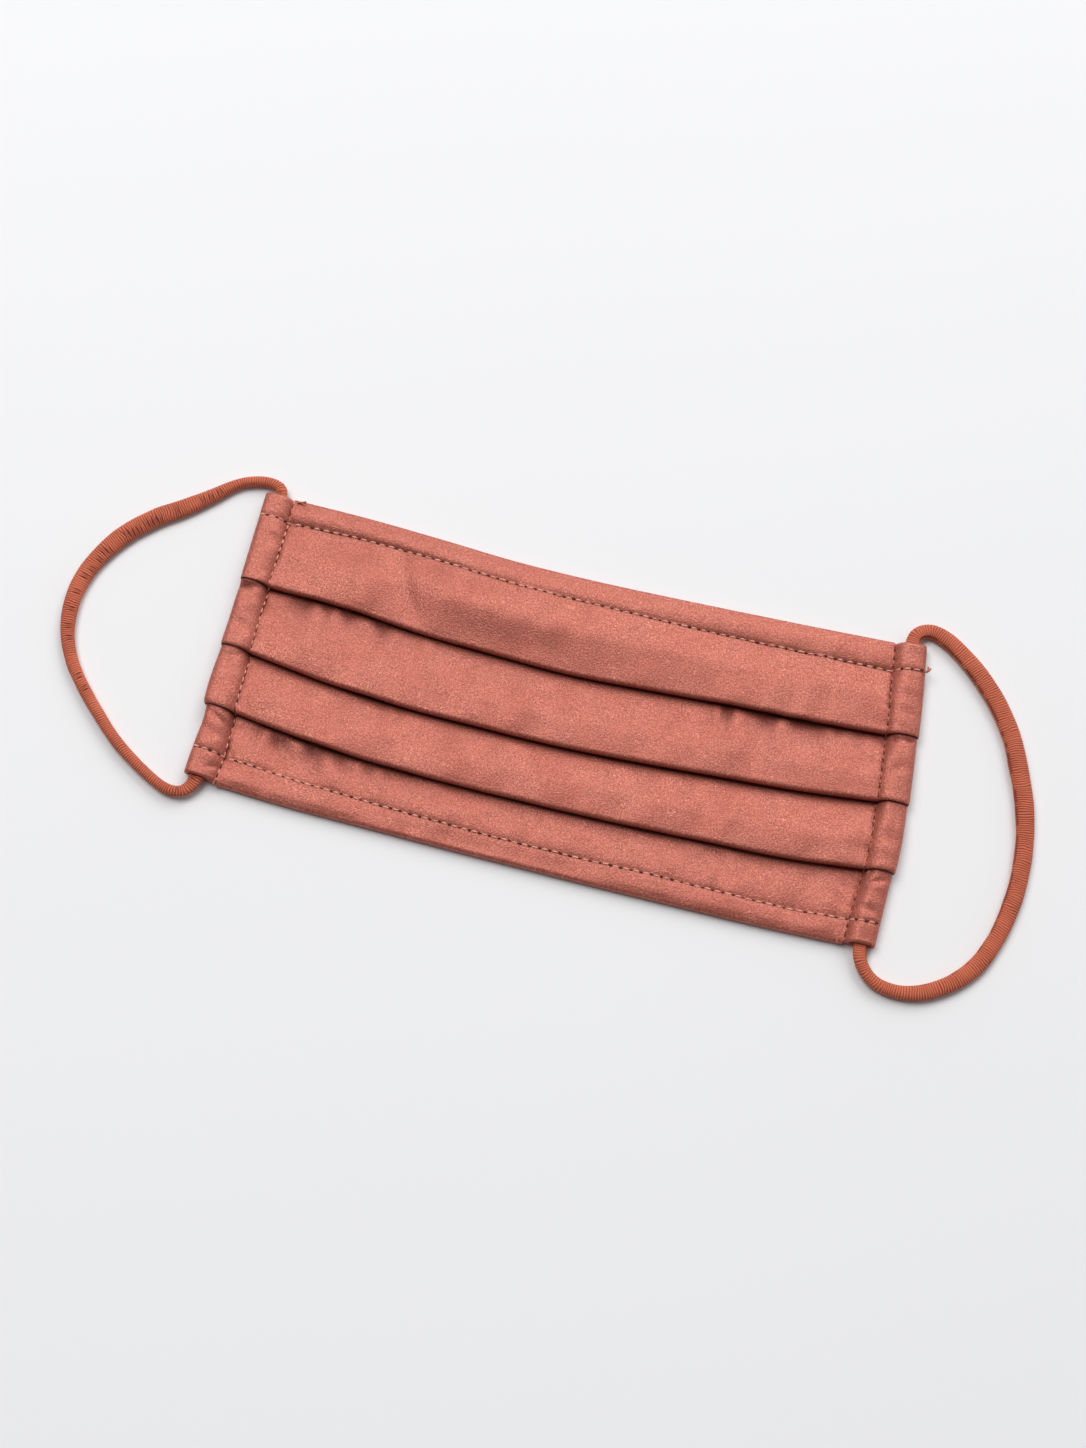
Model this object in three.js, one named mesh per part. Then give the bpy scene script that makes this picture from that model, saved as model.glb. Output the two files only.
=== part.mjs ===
// Pleated cloth face mask with two ear loops, lying flat on its back.
//
// Lengths are in millimetres. +X runs along the width of the mask, +Y to its top edge and
// +Z up out of its front. The origin is the middle of the back of the pleated panel and its
// casings, on the surface that the mask lies on.
//
// The panel is one sheet of cloth, hemmed at the top and bottom and folded into three pleats
// that open downwards. Each short side is turned into a casing, a tunnel of cloth that is open
// at both ends. An ear loop of gathered elastic runs through each casing and is joined inside
// it, so that it is a closed ring.

import * as THREE from "three";

// Pleated panel

// from the left row of side stitches to the right one
const PANEL_WIDTH = 174.5;
// from the top edge to the bottom edge, with the pleats closed
const PANEL_HEIGHT = 86;
// satin and its backing, pressed together
const CLOTH = 1.0;
// air between two layers of cloth that lie on each other
const LAYER_GAP = 0.4;
// how far a pleat is folded back behind the band above it
const PLEAT_DEPTH = 10;
// cloth turned to the back along the top edge and along the bottom edge
const TOP_HEM = 8;
const BOTTOM_HEM = 7.2;
// how far a band stands proud in its middle
const BAND_PUFF = 1.3;
// depth of the soft dents in the bands
const DENT_DEPTH = 0.9;

// Ear loops, an oval of gathered cloth over elastic

const LOOP_WIDTH = 5.2;
const LOOP_THICKNESS = 2.8;
// thickness inside a casing, where the cloth presses the loop flat
const PRESSED_THICKNESS = 1.9;

// Casings

// between an ear loop and the walls of its tunnel
const LOOP_CLEARANCE = 0.35;
// from the stitches to the near side of the tunnel
const CASING_ALLOWANCE = 1.7;
// how far the cloth over a pleat steps up on the front of a casing
const PLEAT_STEP = 0.9;
// length along the casing in which that step falls
const STEP_RUN = 0.6;
// between the panel and a casing
const SEAM_GAP = 0.3;

// Fineness of the facets

const PANEL_STATIONS = 22;
const LOOP_STEPS = 72;
const LOOP_SIDES = 10;

// Derived sizes

const PITCH = CLOTH + LAYER_GAP;
const TURN_RADIUS = PITCH / 2;
const TURN_REACH = TURN_RADIUS + CLOTH / 2;
const TUNNEL_WIDTH = LOOP_WIDTH + 2 * LOOP_CLEARANCE;
const TUNNEL_HEIGHT = PRESSED_THICKNESS + 2 * LOOP_CLEARANCE;
const TUNNEL_CENTRE = CLOTH + TUNNEL_HEIGHT / 2;
const CASING_WIDTH = CASING_ALLOWANCE + TUNNEL_WIDTH + CLOTH;
const CASING_HEIGHT = TUNNEL_HEIGHT + 2 * CLOTH;
const HALF_WIDTH = PANEL_WIDTH / 2;

// The long lines of the panel at nine places across it. at is a share of half the width, and
// the other columns are shares of the height, measured from the middle.
const LINES = [
  { at: -1.0, top: 0.516, fold1: 0.195, fold2: -0.041, fold3: -0.249, bottom: -0.483 },
  { at: -0.75, top: 0.509, fold1: 0.184, fold2: -0.078, fold3: -0.285, bottom: -0.497 },
  { at: -0.5, top: 0.494, fold1: 0.158, fold2: -0.1, fold3: -0.305, bottom: -0.503 },
  { at: -0.25, top: 0.476, fold1: 0.144, fold2: -0.107, fold3: -0.312, bottom: -0.509 },
  { at: 0.0, top: 0.47, fold1: 0.135, fold2: -0.11, fold3: -0.314, bottom: -0.513 },
  { at: 0.25, top: 0.472, fold1: 0.144, fold2: -0.102, fold3: -0.312, bottom: -0.516 },
  { at: 0.5, top: 0.477, fold1: 0.156, fold2: -0.088, fold3: -0.305, bottom: -0.517 },
  { at: 0.75, top: 0.483, fold1: 0.163, fold2: -0.073, fold3: -0.298, bottom: -0.517 },
  { at: 1.0, top: 0.491, fold1: 0.177, fold2: -0.048, fold3: -0.274, bottom: -0.512 },
];

// The short sides. at is a share of the height. left and right place the rows of side stitches
// in shares of half the width, and leftWide and rightWide are shares of the casing's width.
const SIDES = [
  { at: -0.55, left: -0.985, right: 0.997, leftWide: 1.02, rightWide: 0.98 },
  { at: -0.41, left: -0.978, right: 1.004, leftWide: 1.07, rightWide: 0.97 },
  { at: -0.29, left: -0.983, right: 1.016, leftWide: 0.97, rightWide: 0.9 },
  { at: -0.17, left: -0.99, right: 1.019, leftWide: 1.02, rightWide: 0.94 },
  { at: 0.0, left: -0.998, right: 1.012, leftWide: 0.98, rightWide: 0.98 },
  { at: 0.17, left: -1.005, right: 1.002, leftWide: 0.95, rightWide: 1.0 },
  { at: 0.35, left: -1.006, right: 0.987, leftWide: 1.0, rightWide: 1.03 },
  { at: 0.55, left: -1.014, right: 0.968, leftWide: 0.98, rightWide: 1.02 },
];

// Soft dents in the bands. across is a share of half the width, down a share of the band from
// its upper fold to its lower one, wide and high their reach in the same shares, and deep a
// share of the dent depth.
const DENTS = [
  { band: 0, across: -0.54, down: 0.62, wide: 0.07, high: 0.3, deep: 0.8 },
  { band: 0, across: -0.02, down: 0.66, wide: 0.08, high: 0.35, deep: 1.0 },
  { band: 0, across: 0.58, down: 0.55, wide: 0.12, high: 0.3, deep: 0.5 },
  { band: 1, across: 0.3, down: 0.5, wide: 0.14, high: 0.35, deep: 0.5 },
  { band: 2, across: -0.35, down: 0.5, wide: 0.12, high: 0.35, deep: 0.5 },
  { band: 3, across: -0.8, down: 0.3, wide: 0.08, high: 0.25, deep: 1.0 },
  { band: 3, across: 0.45, down: 0.35, wide: 0.15, high: 0.25, deep: 0.5 },
];

// Section of a casing, round its tunnel. across is a share of the casing's width from the
// stitches outwards, up a share of its height, and turn the direction in degrees from the middle
// of the tunnel, from outwards by way of up. pressed is how far the front is held down to the
// height of the panel beside it, which the stitches do at the casing's near edge.
const CASING_SECTION = [
  { across: 1.0, up: 0.45, turn: 0, pressed: 0 },
  { across: 0.98, up: 0.75, turn: 32, pressed: 0 },
  { across: 0.88, up: 0.95, turn: 62, pressed: 0 },
  { across: 0.62, up: 1.0, turn: 90, pressed: 0 },
  { across: 0.36, up: 0.98, turn: 118, pressed: 0 },
  { across: 0.15, up: 0.93, turn: 145, pressed: 0.3 },
  { across: 0.0, up: 0.8, turn: 168, pressed: 1 },
  { across: 0.0, up: 0.0, turn: 205, pressed: 0 },
  { across: 0.3, up: 0.0, turn: 240, pressed: 0 },
  { across: 0.56, up: 0.0, turn: 270, pressed: 0 },
  { across: 0.8, up: 0.02, turn: 300, pressed: 0 },
  { across: 0.95, up: 0.17, turn: 330, pressed: 0 },
];

// How squarely the tunnel is rounded, as the power of a superellipse
const TUNNEL_SQUARENESS = 2.6;

// Route of each ear loop outside its casing, from the upper mouth to the lower one. wide is a
// share of the loop's width and tall a share of its thickness.
const LEFT_ROUTE = [
  { x: -93.0, y: 46.6, z: 2.2, wide: 0.62, tall: 0.7 },
  { x: -94.9, y: 48.0, z: 1.9, wide: 0.58, tall: 0.8 },
  { x: -97.6, y: 48.5, z: 1.6, wide: 0.56, tall: 0.9 },
  { x: -101.7, y: 47.8, z: 1.4, wide: 0.56, tall: 0.98 },
  { x: -105.9, y: 45.8, z: 1.4, wide: 0.6, tall: 1.0 },
  { x: -112.0, y: 40.4, z: 1.4, wide: 0.78, tall: 1.0 },
  { x: -118.6, y: 35.1, z: 1.4, wide: 1.0, tall: 1.0 },
  { x: -125.4, y: 30.1, z: 1.4, wide: 1.06, tall: 1.0 },
  { x: -131.4, y: 24.2, z: 1.4, wide: 1.06, tall: 1.0 },
  { x: -136.0, y: 17.1, z: 1.4, wide: 1.0, tall: 1.0 },
  { x: -139.2, y: 9.1, z: 1.4, wide: 0.96, tall: 1.0 },
  { x: -140.1, y: 0.3, z: 1.4, wide: 0.86, tall: 1.0 },
  { x: -138.7, y: -8.5, z: 1.4, wide: 0.74, tall: 1.0 },
  { x: -134.7, y: -16.7, z: 1.4, wide: 0.68, tall: 1.0 },
  { x: -129.0, y: -23.7, z: 1.4, wide: 0.65, tall: 1.0 },
  { x: -122.9, y: -29.8, z: 1.4, wide: 0.63, tall: 1.0 },
  { x: -116.4, y: -35.7, z: 1.4, wide: 0.6, tall: 1.0 },
  { x: -109.2, y: -40.7, z: 1.4, wide: 0.58, tall: 1.0 },
  { x: -102.6, y: -44.4, z: 1.4, wide: 0.58, tall: 0.98 },
  { x: -98.0, y: -46.2, z: 1.6, wide: 0.58, tall: 0.9 },
  { x: -94.6, y: -46.2, z: 1.9, wide: 0.6, tall: 0.8 },
  { x: -92.2, y: -44.6, z: 2.2, wide: 0.66, tall: 0.7 },
];
const RIGHT_ROUTE = [
  { x: 90.0, y: 45.4, z: 2.2, wide: 0.7, tall: 0.7 },
  { x: 91.6, y: 47.5, z: 1.9, wide: 0.72, tall: 0.8 },
  { x: 94.4, y: 48.4, z: 1.6, wide: 0.78, tall: 0.9 },
  { x: 98.8, y: 47.1, z: 1.4, wide: 0.88, tall: 0.98 },
  { x: 106.0, y: 42.0, z: 1.4, wide: 0.98, tall: 1.0 },
  { x: 112.0, y: 36.1, z: 1.4, wide: 1.0, tall: 1.0 },
  { x: 117.1, y: 29.6, z: 1.4, wide: 1.0, tall: 1.0 },
  { x: 121.3, y: 22.3, z: 1.4, wide: 0.98, tall: 1.0 },
  { x: 124.4, y: 14.3, z: 1.4, wide: 0.98, tall: 1.0 },
  { x: 127.0, y: 6.3, z: 1.4, wide: 0.98, tall: 1.0 },
  { x: 128.7, y: -2.0, z: 1.4, wide: 0.94, tall: 1.0 },
  { x: 129.4, y: -10.4, z: 1.4, wide: 0.92, tall: 1.0 },
  { x: 129.2, y: -18.8, z: 1.4, wide: 0.9, tall: 1.0 },
  { x: 127.9, y: -27.1, z: 1.4, wide: 0.9, tall: 1.0 },
  { x: 125.6, y: -35.1, z: 1.4, wide: 0.88, tall: 1.0 },
  { x: 121.9, y: -42.6, z: 1.4, wide: 0.88, tall: 1.0 },
  { x: 116.4, y: -48.5, z: 1.4, wide: 0.84, tall: 1.0 },
  { x: 109.2, y: -52.6, z: 1.4, wide: 0.8, tall: 1.0 },
  { x: 102.6, y: -53.7, z: 1.4, wide: 0.72, tall: 0.98 },
  { x: 97.2, y: -52.6, z: 1.6, wide: 0.64, tall: 0.9 },
  { x: 93.7, y: -49.8, z: 1.9, wide: 0.62, tall: 0.8 },
  { x: 92.1, y: -46.6, z: 2.2, wide: 0.66, tall: 0.7 },
];

// Share of the loop's width inside the tunnel, where the gathers are spread out
const HIDDEN_WIDE = 0.85;
// Middles of the hidden stretch, as shares of the height, from the lower mouth to the upper one
const HIDDEN_STEPS = [-0.46, -0.3, -0.1, 0.1, 0.3, 0.46];

const mix = THREE.MathUtils.lerp;
const ease = (share) => THREE.MathUtils.smoothstep(share, 0, 1);

// One column of a table at a place between its rows, on a smooth curve through them
function sample(rows, column, at) {
  const last = rows.length - 1;
  let i = 0;
  while (i < last - 1 && rows[i + 1].at < at) i += 1;
  const row = (k) => rows[Math.min(Math.max(k, 0), last)];
  const slope = (k) => {
    const run = row(k + 1).at - row(k - 1).at;
    return (row(k + 1)[column] - row(k - 1)[column]) / run;
  };
  const run = row(i + 1).at - row(i).at;
  const s = THREE.MathUtils.clamp((at - row(i).at) / run, 0, 1);
  const start = row(i)[column];
  const end = row(i + 1)[column];
  const held = (2 * s - 3) * s * s + 1;
  const leaving = slope(i) * run * s * (1 - s) * (1 - s);
  const arriving = slope(i + 1) * run * s * s * (s - 1);
  return start * held + end * (1 - held) + leaving + arriving;
}

const lineAt = (name, across) => PANEL_HEIGHT * sample(LINES, name, across);
const sideAt = (name, y) => HALF_WIDTH * sample(SIDES, name, y / PANEL_HEIGHT);
const casingWidthAt = (name, y) => CASING_WIDTH * sample(SIDES, name, y / PANEL_HEIGHT);
const level = (layer) => CLOTH / 2 + layer * PITCH;

// How far the front of a band stands above its flat layer: the puff less the dents
function bandRelief(band, across, down) {
  const puff = BAND_PUFF * Math.sin(Math.PI * down) * (1 - Math.abs(across) ** 3);
  const dented = DENTS.filter((dent) => dent.band === band).reduce((sum, dent) => {
    const reach = ((across - dent.across) / dent.wide) ** 2 + ((down - dent.down) / dent.high) ** 2;
    return sum + dent.deep * Math.exp(-reach);
  }, 0);
  return puff - DENT_DEPTH * dented * Math.sin(Math.PI * down);
}

// Panel

// The middle of the cloth in one upright section across the pleats, from the raw edge of the
// top hem to the raw edge of the bottom hem. Each point has the normal on which the cloth gets
// its thickness.
function panelPath(across) {
  const path = [];
  const add = (y, z, ny, nz) => path.push({ y, z, ny, nz });

  // Half a circle of cloth round a fold. The fold points to way, and the cloth comes in on the
  // layer above the middle when start is 1, or below it when start is -1.
  function turn(y, z, way, start, steps) {
    for (let i = 0; i <= steps; i += 1) {
      const angle = (Math.PI * i) / steps;
      const out = way * Math.sin(angle);
      const up = start * Math.cos(angle);
      add(y + TURN_RADIUS * out, z + TURN_RADIUS * up, way * start * out, way * start * up);
    }
  }

  // Cloth that runs down the mask, between two folds, with its height given along the way
  function run(shares, yAt, zAt) {
    for (const s of shares) {
      const step = 1e-3;
      const dy = yAt(s + step) - yAt(s - step);
      const dz = zAt(s + step) - zAt(s - step);
      const length = Math.hypot(dy, dz);
      add(yAt(s), zAt(s), -dz / length, dy / length);
    }
  }

  const top = lineAt("top", across);
  const bottom = lineAt("bottom", across);
  const folds = ["fold1", "fold2", "fold3"].map((name) => lineAt(name, across));

  // Top hem, turned to the back
  add(top - TOP_HEM, level(0), 0, 1);
  turn(top - TURN_REACH, level(0.5), 1, -1, 4);

  // A band is held between its upper line and its lower one. It climbs from the layer where it
  // comes out of the fold above to the layer that lies over the next pleat.
  function band(index, upper, lower, climbFrom, climbTo, fromLayer, toLayer, shares) {
    const yAt = (s) => mix(upper, lower, s);
    const zAt = (s) => {
      const climbed = ease(THREE.MathUtils.clamp((climbFrom - yAt(s)) / (climbFrom - climbTo), 0, 1));
      return mix(level(fromLayer), level(toLayer), climbed) + bandRelief(index, across, s);
    };
    run(shares, yAt, zAt);
  }

  const pleatShares = [0.14, 0.28, 0.42, 0.56, 0.7, 0.85];
  const upperLines = [top - TURN_REACH, ...folds];
  folds.forEach((fold, i) => {
    const climbFrom = i === 0 ? top - TOP_HEM : upperLines[i];
    const climbTo = fold + PLEAT_DEPTH;
    const shares = i === 0 ? [0.18, 0.32, 0.46, 0.58, 0.72, 0.86] : pleatShares;
    band(i, upperLines[i], fold + TURN_REACH, climbFrom, climbTo, i === 0 ? 1 : 0, 2, shares);
    turn(fold + TURN_REACH, level(1.5), -1, 1, 4);
    turn(fold + PLEAT_DEPTH - TURN_REACH, level(0.5), 1, 1, 3);
    add(fold, level(0), 0, -1);
  });

  // Last band and the bottom hem, turned to the back
  const lastFold = folds[folds.length - 1];
  const hemTop = bottom + BOTTOM_HEM;
  band(3, lastFold, bottom + TURN_REACH, lastFold, hemTop, 0, 1, [0.14, 0.28, 0.42, 0.56, 0.8]);
  turn(bottom + TURN_REACH, level(0.5), -1, 1, 4);
  add(hemTop, level(0), 0, 1);
  return path;
}

// A point of the panel, spread between the two rows of side stitches at its own height
function onPanel(across, y, z) {
  const left = sideAt("left", y) + SEAM_GAP / 2;
  const right = sideAt("right", y) - SEAM_GAP / 2;
  return new THREE.Vector3(mix(left, right, (across + 1) / 2), y, z);
}

function pleatedPanel() {
  const rows = [];
  for (let i = 0; i <= PANEL_STATIONS; i += 1) {
    const across = mix(-1, 1, i / PANEL_STATIONS);
    rows.push(
      panelPath(across).map((point) => {
        const y = (point.ny * CLOTH) / 2;
        const z = (point.nz * CLOTH) / 2;
        return {
          inner: onPanel(across, point.y + y, point.z + z),
          outer: onPanel(across, point.y - y, point.z - z),
        };
      }),
    );
  }
  return clothSolid(rows, false);
}

// Casings

// Middle of the tunnel of a casing at one height
function tunnelMiddle(side, y) {
  const name = side < 0 ? "left" : "right";
  const width = casingWidthAt(`${name}Wide`, y);
  return sideAt(name, y) + side * (SEAM_GAP / 2 + width - CLOTH - TUNNEL_WIDTH / 2);
}

// Section of a casing at one height. lift is how far, from 0 to 1, its front has climbed on to
// the next pleat, panelFront is the height of the panel beside it, and rake slants the section
// towards the top at its outer edge.
function casingSection(side, y, lift, panelFront, rake) {
  const name = side < 0 ? "left" : "right";
  const width = casingWidthAt(`${name}Wide`, y);
  const stitches = sideAt(name, y) + (side * SEAM_GAP) / 2;
  return CASING_SECTION.map((row) => {
    const turn = THREE.MathUtils.degToRad(row.turn);
    const rounded = (value) => Math.sign(value) * Math.abs(value) ** (2 / TUNNEL_SQUARENESS);
    const tunnelX = tunnelMiddle(side, y) + ((side * TUNNEL_WIDTH) / 2) * rounded(Math.cos(turn));
    const tunnelZ = TUNNEL_CENTRE + (TUNNEL_HEIGHT / 2) * rounded(Math.sin(turn));
    const front = THREE.MathUtils.smoothstep(row.up, 0.5, 0.9);
    const free = row.up * CASING_HEIGHT + front * lift * PLEAT_STEP;
    const slant = y + rake * row.across;
    return {
      inner: new THREE.Vector3(tunnelX, slant, tunnelZ),
      outer: new THREE.Vector3(
        stitches + side * row.across * width,
        slant,
        mix(free, panelFront, row.pressed),
      ),
    };
  });
}

// How far the outer corners of a casing are slanted, upwards
const CORNER_RAKES = { leftTop: 0.3, leftBottom: 0.8, rightTop: 1.2, rightBottom: 0.3 };

function casing(side) {
  const name = side < 0 ? "left" : "right";
  const edges = ["top", "fold1", "fold2", "fold3", "bottom"].map((line) => lineAt(line, side));
  const top = edges[0];
  const bottom = edges[edges.length - 1];
  const rise = (y) => (y - bottom) / (top - bottom);
  const lastBand = edges.length - 2;
  const rows = [];
  for (let band = 0; band <= lastBand; band += 1) {
    const upper = band === 0 ? edges[0] : edges[band] - STEP_RUN;
    const lower = edges[band + 1];
    const reachesLayer = band < lastBand ? 2 : 1;
    const climbTo = band < lastBand ? lower + PLEAT_DEPTH : lower + BOTTOM_HEM;
    for (const s of [0, 0.35, 0.7, 1]) {
      const y = mix(upper, lower, s);
      const lift = band < lastBand ? s : 0;
      const climbed = ease(THREE.MathUtils.clamp((upper - y) / (upper - climbTo), 0, 1));
      const layer = mix(band === 0 ? 1 : 0, reachesLayer, climbed);
      const rake = mix(CORNER_RAKES[`${name}Bottom`], CORNER_RAKES[`${name}Top`], rise(y));
      rows.push(casingSection(side, y, lift, level(layer) + CLOTH / 2, rake));
    }
  }
  return clothSolid(rows, true);
}

// Ear loops

function earLoop(side, route) {
  const hidden = HIDDEN_STEPS.map((share) => ({
    x: tunnelMiddle(side, share * PANEL_HEIGHT),
    y: share * PANEL_HEIGHT,
    z: TUNNEL_CENTRE,
    wide: HIDDEN_WIDE,
    tall: PRESSED_THICKNESS / LOOP_THICKNESS,
  }));
  const points = [...route, ...hidden];
  const places = points.map((point) => new THREE.Vector3(point.x, point.y, point.z));
  const curve = new THREE.CatmullRomCurve3(places, true, "centripetal");
  curve.arcLengthDivisions = 1000;
  const rings = [];
  for (let i = 0; i < LOOP_STEPS; i += 1) {
    const t = curve.getUtoTmapping(i / LOOP_STEPS);
    const place = curve.getPoint(t);
    const ahead = curve.getTangent(t);
    const across = new THREE.Vector3(-ahead.y, ahead.x, 0).normalize();
    const up = new THREE.Vector3().crossVectors(ahead, across).normalize();
    const at = t * points.length;
    const before = points[Math.floor(at) % points.length];
    const after = points[(Math.floor(at) + 1) % points.length];
    const share = at - Math.floor(at);
    const width = LOOP_WIDTH * mix(before.wide, after.wide, share);
    const thickness = LOOP_THICKNESS * mix(before.tall, after.tall, share);
    const ring = [];
    for (let k = 0; k < LOOP_SIDES; k += 1) {
      const angle = (2 * Math.PI * k) / LOOP_SIDES;
      ring.push(
        place
          .clone()
          .addScaledVector(across, (width / 2) * Math.cos(angle))
          .addScaledVector(up, (thickness / 2) * Math.sin(angle)),
      );
    }
    rings.push(ring);
  }
  return ringSolid(rings);
}

// Surfaces

// A mesh of triangles over shared corners, turned so that it faces outwards
function closedMesh(corners, faces) {
  const normal = new THREE.Vector3();
  let volume = 0;
  for (let i = 0; i < faces.length; i += 3) {
    const [a, b, c] = faces.slice(i, i + 3).map((corner) => corners[corner]);
    volume += normal.crossVectors(b, c).dot(a);
  }
  const geometry = new THREE.BufferGeometry().setFromPoints(corners);
  geometry.setIndex(volume < 0 ? faces.reverse() : faces);
  geometry.computeVertexNormals();
  return geometry;
}

// A wall of cloth between an inner and an outer sheet. Each row is a list of point pairs, and a
// looped row goes round and back to its first pair.
function clothSolid(rows, looped) {
  const count = rows[0].length;
  const corners = rows.flatMap((row) => row.flatMap((pair) => [pair.inner, pair.outer]));
  const inner = (j, i) => 2 * (j * count + (i % count));
  const outer = (j, i) => inner(j, i) + 1;
  const faces = [];
  const quad = (a, b, c, d) => faces.push(a, b, c, a, c, d);
  const last = rows.length - 1;
  const spans = looped ? count : count - 1;
  for (let i = 0; i < spans; i += 1) {
    for (let j = 0; j < last; j += 1) {
      quad(outer(j, i), outer(j + 1, i), outer(j + 1, i + 1), outer(j, i + 1));
      quad(inner(j, i), inner(j, i + 1), inner(j + 1, i + 1), inner(j + 1, i));
    }
    quad(inner(0, i), outer(0, i), outer(0, i + 1), inner(0, i + 1));
    quad(inner(last, i), inner(last, i + 1), outer(last, i + 1), outer(last, i));
  }
  for (let j = 0; !looped && j < last; j += 1) {
    quad(inner(j, 0), inner(j + 1, 0), outer(j + 1, 0), outer(j, 0));
    quad(inner(j, count - 1), outer(j, count - 1), outer(j + 1, count - 1), inner(j + 1, count - 1));
  }
  return closedMesh(corners, faces);
}

// A closed ring of tube
function ringSolid(rings) {
  const sides = rings[0].length;
  const at = (j, k) => (j % rings.length) * sides + (k % sides);
  const faces = [];
  for (let j = 0; j < rings.length; j += 1) {
    for (let k = 0; k < sides; k += 1) {
      faces.push(at(j, k), at(j + 1, k), at(j + 1, k + 1));
      faces.push(at(j, k), at(j + 1, k + 1), at(j, k + 1));
    }
  }
  return closedMesh(rings.flat(), faces);
}

// The mask

const satin = { color: 0xc4705f, roughness: 0.45, metalness: 0 };
const gatheredElastic = { color: 0xb95b42, roughness: 0.75, metalness: 0 };

function piece(name, geometry, finish) {
  const mesh = new THREE.Mesh(geometry, new THREE.MeshStandardMaterial(finish));
  mesh.name = name;
  return mesh;
}

const mask = new THREE.Group();
mask.add(piece("pleated_panel", pleatedPanel(), satin));
mask.add(piece("casing_left", casing(-1), satin));
mask.add(piece("casing_right", casing(1), satin));
mask.add(piece("ear_loop_left", earLoop(-1, LEFT_ROUTE), gatheredElastic));
mask.add(piece("ear_loop_right", earLoop(1, RIGHT_ROUTE), gatheredElastic));

export default mask;
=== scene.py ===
"""A pleated cloth face mask of coral satin, lying flat with its two ear loops spread out.

Laid out as an add-on and run as a script. Lengths are in metres. +X runs along the width of
the mask, +Y to its top edge and +Z up out of its front.
"""

import math
import random

import bmesh
import bpy
import numpy as np
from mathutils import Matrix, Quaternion, Vector
from mathutils.bvhtree import BVHTree


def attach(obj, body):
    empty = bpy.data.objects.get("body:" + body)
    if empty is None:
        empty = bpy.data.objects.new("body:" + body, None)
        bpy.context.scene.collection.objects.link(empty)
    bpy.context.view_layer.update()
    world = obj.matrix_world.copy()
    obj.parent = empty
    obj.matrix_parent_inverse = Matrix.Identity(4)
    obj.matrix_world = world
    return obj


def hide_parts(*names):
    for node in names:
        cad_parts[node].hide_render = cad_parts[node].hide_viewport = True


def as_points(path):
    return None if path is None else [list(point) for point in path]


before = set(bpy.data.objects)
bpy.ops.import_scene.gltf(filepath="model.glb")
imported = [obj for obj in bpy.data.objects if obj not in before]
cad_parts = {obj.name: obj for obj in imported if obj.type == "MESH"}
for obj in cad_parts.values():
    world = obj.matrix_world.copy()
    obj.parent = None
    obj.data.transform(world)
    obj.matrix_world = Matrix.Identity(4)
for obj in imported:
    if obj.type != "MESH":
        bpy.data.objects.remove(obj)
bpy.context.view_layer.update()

bl_info = {
    "name": "Pleated cloth face mask",
    "version": (1, 0, 0),
    "blender": (4, 5, 0),
    "location": "3D View > Sidebar > Face mask",
    "description": "Builds a pleated satin face mask with gathered ear loops",
    "category": "Add Mesh",
}

MM = 0.001


def table(columns, *rows):
    """The rows of a table as dictionaries with named columns"""
    return [dict(zip(columns.split(), row)) for row in rows]


# The long lines of the panel. at is a share of half the width, and the other columns are shares
# of the height, measured from the middle.
LINES = table(
    "at top fold1 fold2 fold3 bottom",
    (-1.0, 0.516, 0.195, -0.041, -0.249, -0.483),
    (-0.75, 0.509, 0.184, -0.078, -0.285, -0.497),
    (-0.5, 0.494, 0.158, -0.1, -0.305, -0.503),
    (-0.25, 0.476, 0.144, -0.107, -0.312, -0.509),
    (0.0, 0.47, 0.135, -0.11, -0.314, -0.513),
    (0.25, 0.472, 0.144, -0.102, -0.312, -0.516),
    (0.5, 0.477, 0.156, -0.088, -0.305, -0.517),
    (0.75, 0.483, 0.163, -0.073, -0.298, -0.517),
    (1.0, 0.491, 0.177, -0.048, -0.274, -0.512),
)
FOLDS = ("fold1", "fold2", "fold3")
LAST_BAND = len(FOLDS)

# The short sides. at is a share of the height. left and right place the rows of side stitches
# in shares of half the width, and the wide columns are shares of the casing's width.
SIDES = table(
    "at left right left_wide right_wide",
    (-0.55, -0.985, 0.997, 1.02, 0.98),
    (-0.41, -0.978, 1.004, 1.07, 0.97),
    (-0.29, -0.983, 1.016, 0.97, 0.9),
    (-0.17, -0.99, 1.019, 1.02, 0.94),
    (0.0, -0.998, 1.012, 0.98, 0.98),
    (0.17, -1.005, 1.002, 0.95, 1.0),
    (0.35, -1.006, 0.987, 1.0, 1.03),
    (0.55, -1.014, 0.968, 0.98, 1.02),
)

# The two rows of hem stitches, as shares of the panel's height in from its edge
HEM_ROWS = table(
    "at top bottom",
    (-1.0, 0.083, 0.087),
    (-0.8, 0.075, 0.081),
    (-0.4, 0.077, 0.069),
    (0.0, 0.081, 0.065),
    (0.4, 0.087, 0.069),
    (0.8, 0.092, 0.065),
    (1.0, 0.095, 0.071),
)

# Soft dents in the bands. across is a share of half the width, down a share of the band from
# its upper fold to its lower one, and deep a share of the dent depth.
DENTS = table(
    "band across down wide high deep",
    (0, -0.06, 0.7, 0.09, 0.35, 0.9),
    (0, 0.58, 0.55, 0.12, 0.3, 0.5),
    (1, 0.3, 0.5, 0.14, 0.35, 0.5),
    (2, -0.35, 0.5, 0.12, 0.35, 0.5),
    (3, -0.8, 0.3, 0.08, 0.25, 1.0),
    (3, 0.45, 0.35, 0.15, 0.25, 0.5),
)

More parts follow.
